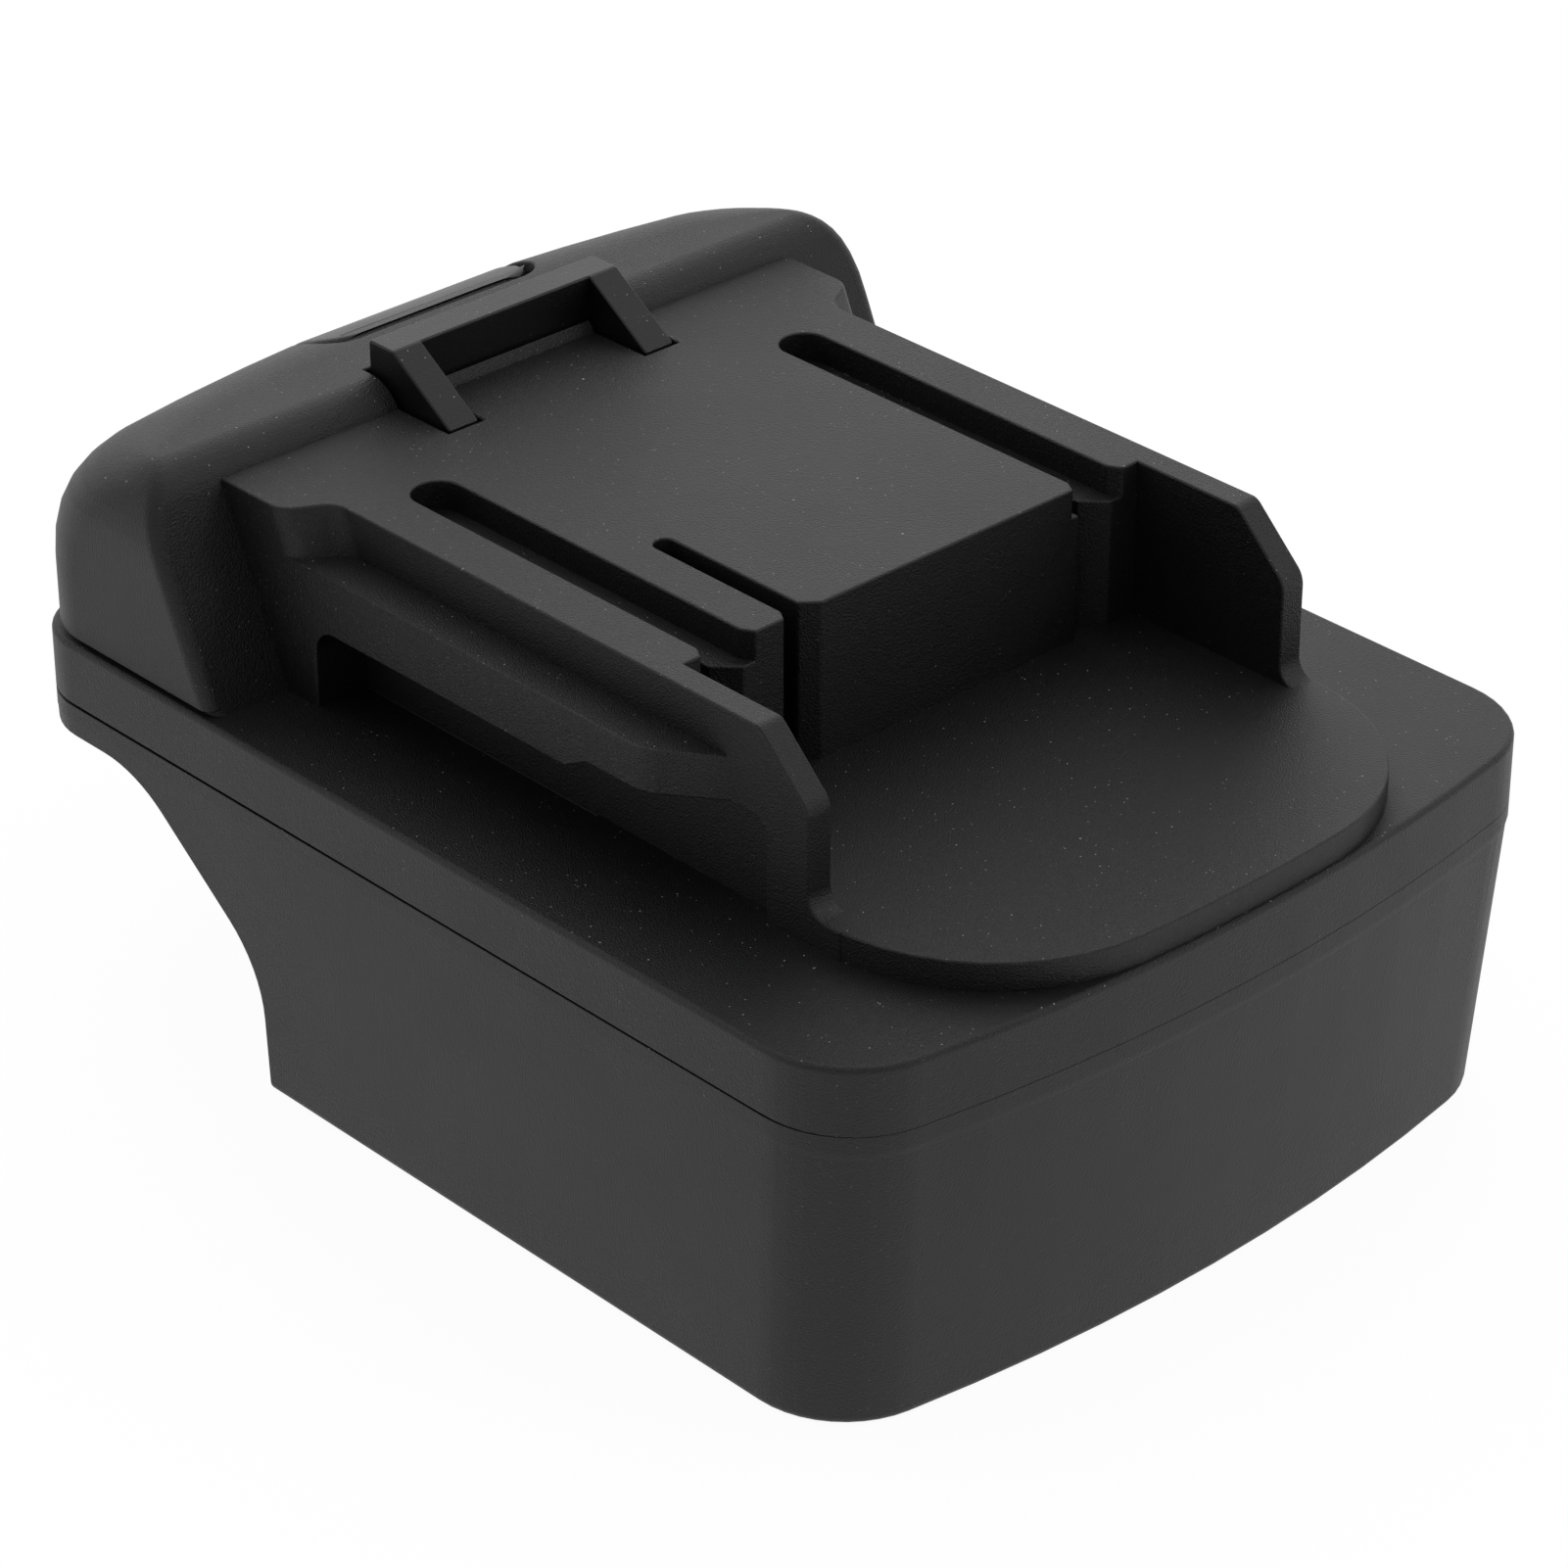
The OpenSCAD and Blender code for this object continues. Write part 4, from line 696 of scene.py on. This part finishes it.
class ADAPTER_OT_springs(bpy.types.Operator):
    """Winds the two springs under the latch"""

    bl_idname = "adapter.springs"
    bl_label = "Springs"

    def execute(self, context):
        shape = context.scene.adapter_shapes
        steel = bright_metal("drawn_wire", context.scene.adapter_finishes.steel[:], 0.24, (1.0, 1.0, 0.3))
        nodes = ("latch_spring_left", "latch_spring_right")
        low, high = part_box(nodes[0])
        grow = Growth("coil")
        radius = grow.size("Coil radius")
        coil = grow.node("GeometryNodeCurveSpiral", None,
                         {"Resolution": 24, "Rotations": grow.size("Turns"), "Start Radius": radius,
                          "End Radius": radius, "Height": grow.size("Height")})
        wire = grow.tube(coil, grow.circle(10, grow.size("Wire radius")))
        grow.close(grow.on_points(wire), steel)
        seats = bpy.data.meshes.new("spring_seats")
        lift = shape.wire_radius
        seats.from_pydata([(*((a + b) / 2).xy, a.z + lift) for a, b in map(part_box, nodes)], [], [])
        piece = grow.mesh("latch_springs", seats, {
            "Coil radius": (high.x - low.x) / 2 - shape.wire_radius, "Turns": float(shape.coil_turns),
            "Height": high.z - low.z - 2 * lift, "Wire radius": shape.wire_radius})
        piece.data.shade_smooth()
        stands_for(piece, "housing", "spring_steel", *nodes)
        press = next(joint for joint in frame["joints"] if joint["name"] == "latch_press")
        travel = max(press["range_m"])
        1.0 - travel / (high.z - low.z)
        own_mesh(piece)
        return {"FINISHED"}


class ADAPTER_OT_terminals(bpy.types.Operator):
    """Makes the terminal block with its plated blades, and the brass contacts on their carrier"""

    bl_idname = "adapter.terminals"
    bl_label = "Terminals"

    def execute(self, context):
        shape = context.scene.adapter_shapes
        look = context.scene.adapter_finishes
        holder = moulded_plastic("moulded_holder", look.inner_black[:], look.case_roughness,
                                 0.4 * look.grain_depth)
        nickel = bright_metal("plated_blade", look.nickel[:], 0.2, (1.0, 0.12, 1.0))
        brass = bright_metal("stamped_contact", look.brass[:], 0.24, (1.0, 0.2, 1.0))
        groups = (
            (holder, "inner_plastic", shape.edge_round, ("input_terminal_block",)),
            (holder, "inner_plastic", shape.seam_round, ("terminal_carrier",)),
            (nickel, "blade_nickel", shape.sheet_round,
             ("input_blade_positive", "input_blade_negative", "input_blade_signal")),
            (brass, "contact_brass", shape.sheet_round,
             ("output_terminal_positive", "output_terminal_negative", "signal_terminal")),
        )
        for material, slot, radius, nodes in groups:
            for node in nodes:
                piece = rounded_copy(node, node + "_made", radius, material)
                stands_for(piece, "housing", slot, node)
        return {"FINISHED"}


class ADAPTER_OT_board(bpy.types.Operator):
    """Makes the circuit board with its chips, resistors and capacitor"""

    bl_idname = "adapter.board"
    bl_label = "Circuit board"

    def execute(self, context):
        shape = context.scene.adapter_shapes
        look = context.scene.adapter_finishes
        mask = solder_mask("solder_mask", look.board_green[:], look.copper[:])
        epoxy = chip_epoxy("chip_epoxy", look.chip_black[:])
        can = bright_metal("drawn_can", look.aluminium[:], 0.22, (1.0, 1.0, 0.12))
        groups = (
            (mask, "board_green", ("circuit_board",)),
            (epoxy, "chip_black", ("control_chip", "power_transistors", "board_resistors")),
            (can, "can_aluminium", ("board_capacitor",)),
        )
        for material, slot, nodes in groups:
            for node in nodes:
                piece = rounded_copy(node, node + "_made", shape.sheet_round, material)
                stands_for(piece, "housing", slot, node)
        return {"FINISHED"}


class ADAPTER_OT_leads(bpy.types.Operator):
    """Runs the three smooth leads from the board to the contacts"""

    bl_idname = "adapter.leads"
    bl_label = "Leads"

    def execute(self, context):
        look = context.scene.adapter_finishes
        tints = {"lead_red": look.lead_red, "lead_blue": look.lead_blue, "lead_white": look.lead_white}
        for node, (slot, tint) in zip(("positive_lead", "negative_lead", "signal_lead"), tints.items()):
            grow = Growth(node)
            line = grow.node("GeometryNodeMeshToCurve", None, {"Mesh": grow.points()})
            curved = grow.node("GeometryNodeCurveSplineType", {"spline_type": "CATMULL_ROM"}, {"Curve": line})
            ring = grow.circle(16, grow.size("Radius"))
            grow.close(grow.tube(curved, ring), sheath(node + "_sheath", tint[:]))
            middles, radius = route_of(node)
            line_mesh = bpy.data.meshes.new(node + "_line")
            line_mesh.from_pydata(middles, [(i, i + 1) for i in range(len(middles) - 1)], [])
            piece = grow.mesh(node + "_made", line_mesh, {"Radius": radius})
            smooth(piece)
            stands_for(piece, "housing", slot, node)
        return {"FINISHED"}


class ADAPTER_OT_screws(bpy.types.Operator):
    """Makes the pan-head screws with their cross recess and thread"""

    bl_idname = "adapter.screws"
    bl_label = "Screws"

    def execute(self, context):
        shape = context.scene.adapter_shapes
        look = context.scene.adapter_finishes
        grow = self.growth(bright_metal("zinc_screw", look.steel[:], 0.26, (1.0, 1.0, 0.5)))
        for node in ("carrier_screws", "board_screws", "block_screws", "cover_screws", "case_screws"):
            screws = [screw_sizes(points) for points in islands(node)]
            first = max(screws, key=lambda screw: screw["length"])
            seats = bpy.data.meshes.new(node + "_seats")
            seats.from_pydata([screw["seat"] for screw in screws], [], [])
            stretch = seats.attributes.new("stretch", "FLOAT", "POINT")
            for item, screw in zip(stretch.data, screws):
                item.value = screw["length"] / first["length"]
            piece = grow.mesh(node + "_made", seats, {
                "Head radius": first["head_r"], "Head height": first["head_h"],
                "Shank radius": first["shank_r"], "Length": first["length"], "Pitch": shape.thread_pitch,
                "Turn": first["turn"]})
            smooth(piece)
            stands_for(piece, "housing", "screw_steel", node)
        return {"FINISHED"}

    def growth(self, material):
        """The tree that sets a head and a shank on each seat."""
        grow = Growth("screw")
        head_r = grow.size("Head radius")
        head_h = grow.size("Head height")
        shank_r = grow.size("Shank radius")
        length = grow.size("Length")
        pitch = grow.size("Pitch")
        turn = grow.upright(grow.size("Turn"), 0.0, 0.0)
        core_r = shank_r * 0.86
        half_h = head_h * 0.5
        band = grow.node("GeometryNodeMeshCylinder", None,
                         {"Vertices": 48, "Radius": head_r, "Depth": half_h})
        dome = grow.node("GeometryNodeMeshCone", None,
                         {"Vertices": 48, "Radius Top": head_r, "Radius Bottom": head_r * 0.8,
                          "Depth": half_h})
        bar = grow.node("GeometryNodeMeshCube", None,
                        {"Size": grow.upright(head_r * 1.1, head_r * 0.24, head_h * 0.84)})
        cross = grow.joined(bar, grow.moved(bar, (0.0, 0.0, 0.0), (0.0, 0.0, math.pi / 2)))
        cut = grow.node("GeometryNodeMeshBoolean", {"operation": "DIFFERENCE", "solver": "EXACT"},
                        {"Mesh 1": dome, "Mesh 2": cross, "Self Intersection": True})
        head = grow.joined(grow.moved(band, grow.upright(0.0, 0.0, head_h * -0.25)),
                           grow.moved(cut, grow.upright(0.0, 0.0, head_h * -1.0)))
        core = grow.node("GeometryNodeMeshCylinder", None,
                         {"Vertices": 24, "Radius": core_r, "Depth": length})
        spiral = grow.node("GeometryNodeCurveSpiral", None,
                           {"Resolution": 16, "Rotations": length / pitch - 1.0, "Start Radius": core_r,
                            "End Radius": core_r, "Height": length - pitch})
        thread = grow.tube(spiral, grow.circle(6, shank_r * 0.13))
        shank = grow.joined(grow.moved(core, grow.upright(0.0, 0.0, length * 0.5)),
                            grow.moved(thread, grow.upright(0.0, 0.0, pitch * 0.5)))
        stretch = grow.node("GeometryNodeInputNamedAttribute", {"data_type": "FLOAT"}, {"Name": "stretch"})
        heads = grow.on_points(head, Rotation=turn)
        shanks = grow.on_points(shank, Rotation=turn, Scale=grow.upright(1.0, 1.0, stretch))
        grow.close(grow.joined(heads, shanks), material)
        return grow


class ADAPTER_OT_stage(bpy.types.Operator):
    """Makes the pale floor, the soft lamps and the room light"""

    bl_idname = "adapter.stage"
    bl_label = "Stage"

    def execute(self, context):
        stage = context.scene.adapter_stage
        self.floor(stage)
        self.room(context.scene, stage)
        self.lamp("rear_lamp", (0.9, 1.0, 0.8), stage.rear_size, stage.rear_power)
        self.lamp("front_lamp", (0.75, -0.95, 0.85), stage.front_size, stage.front_power)
        return {"FINISHED"}

    def floor(self, stage):
        """A plain floor that looks white, keeps a little of the shadow and is clear from below."""
        white_level = 1.05
        half = stage.floor_size / 2
        mesh = bpy.data.meshes.new("floor")
        low = -0.02 * MM
        corners = ((-half, -half, low), (half, -half, low), (half, half, low), (-half, half, low))
        mesh.from_pydata(corners, [], [(0, 1, 2, 3)])
        floor = new_object("floor", mesh)
        paint = Finish("floor_paint", {"Base Color": tuple(stage.floor_white), "Roughness": 0.9})
        mirrored = paint.node("ShaderNodeLightPath", output="Is Glossy Ray")
        straight = straight_rays(paint)
        glow = straight * white_level + mirrored * stage.floor_glow
        white = paint.node("ShaderNodeEmission", None, {"Strength": glow})
        seen = ((straight + mirrored) > 0.5) * stage.floor_clear
        surface = Socket(paint, paint.shader.outputs[0])
        mixed = paint.node("ShaderNodeMixShader", None, {0: seen, 1: surface, 2: white})
        below = paint.node("ShaderNodeNewGeometry", output="Backfacing")
        clear = paint.node("ShaderNodeBsdfTransparent")
        one_sided = paint.node("ShaderNodeMixShader", None, {0: below, 1: mixed, 2: clear})
        paint.feed(paint.tree.nodes["Material Output"].inputs["Surface"], one_sided)
        mesh.materials.append(paint.material)
        floor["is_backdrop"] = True

    def room(self, scene, stage):
        """Soft light all round, weaker from the camera's side, and white where it is seen."""
        world = bpy.data.worlds.new("room")
        world.use_nodes = True
        scene.world = world
        tree = Tree(world.node_tree)
        way = tree.node("ShaderNodeTexCoord", output="Generated")
        rear = tree.node("ShaderNodeVectorMath", {"operation": "DOT_PRODUCT"}, {0: way, 1: (0.55, 0.6, 0.58)},
                         "Value")
        light = stage.front_light + tree.ramp(rear, -0.5, 0.7) * (stage.room_light - stage.front_light)
        strength = light + straight_rays(tree) * (1.0 - light)
        tree.feed(world.node_tree.nodes["Background"].inputs["Color"], (1.0, 1.0, 1.0, 1.0))
        tree.feed(world.node_tree.nodes["Background"].inputs["Strength"], strength)

    def lamp(self, name, place, size, watts):
        """A square soft lamp at a place, turned to the object."""
        light = bpy.data.lights.new(name, "AREA")
        light.size = size
        light.energy = watts
        lamp = bpy.data.objects.new(name, light)
        lamp.location = place
        lamp.rotation_euler = Vector(place).to_track_quat("Z", "Y").to_euler()
        lamp.visible_camera = False
        bpy.context.scene.collection.objects.link(lamp)


def straight_rays(tree):
    """1 for rays that come straight to the camera, else 0."""
    rays = tree.node("ShaderNodeLightPath", output="Is Camera Ray")
    return (rays + rays.other("Is Transmission Ray")) > 0.5


class ADAPTER_PT_panel(bpy.types.Panel):
    """Lists the pieces and their settings"""

    bl_idname = "ADAPTER_PT_panel"
    bl_label = "Battery adapter"
    bl_space_type = "VIEW_3D"
    bl_region_type = "UI"
    bl_category = "Adapter"

    def draw(self, context):
        scene = context.scene
        for settings in (scene.adapter_shapes, scene.adapter_finishes, scene.adapter_stage):
            box = self.layout.box()
            for name in settings.__annotations__:
                box.prop(settings, name)
        for operator in PIECES:
            self.layout.operator(operator.bl_idname)


PIECES = (
    ADAPTER_OT_camera, ADAPTER_OT_cases, ADAPTER_OT_latch, ADAPTER_OT_springs, ADAPTER_OT_terminals,
    ADAPTER_OT_board, ADAPTER_OT_leads, ADAPTER_OT_screws, ADAPTER_OT_stage,
)
CLASSES = (ADAPTER_PG_shapes, ADAPTER_PG_finishes, ADAPTER_PG_stage, *PIECES, ADAPTER_PT_panel)


def register():
    """Registers the classes and their settings."""
    for item in CLASSES:
        bpy.utils.register_class(item)
    bpy.types.Scene.adapter_shapes = PointerProperty(type=ADAPTER_PG_shapes)
    bpy.types.Scene.adapter_finishes = PointerProperty(type=ADAPTER_PG_finishes)
    bpy.types.Scene.adapter_stage = PointerProperty(type=ADAPTER_PG_stage)


def unregister():
    """Takes them out again."""
    del bpy.types.Scene.adapter_stage
    del bpy.types.Scene.adapter_finishes
    del bpy.types.Scene.adapter_shapes
    for item in reversed(CLASSES):
        bpy.utils.unregister_class(item)


def main():
    """Builds the whole model and measures its size."""
    register()
    bpy.context.scene.view_settings.view_transform = "Standard"
    bpy.ops.adapter.camera()
    bpy.ops.adapter.cases()
    bpy.ops.adapter.latch()
    bpy.ops.adapter.springs()
    bpy.ops.adapter.terminals()
    bpy.ops.adapter.board()
    bpy.ops.adapter.leads()
    bpy.ops.adapter.screws()
    bpy.ops.adapter.stage()
    boxes = {"cad": cad_box, "visual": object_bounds()}
    {name: [list(corner) for corner in box] for name, box in boxes.items()}


if __name__ == "__main__":
    main()
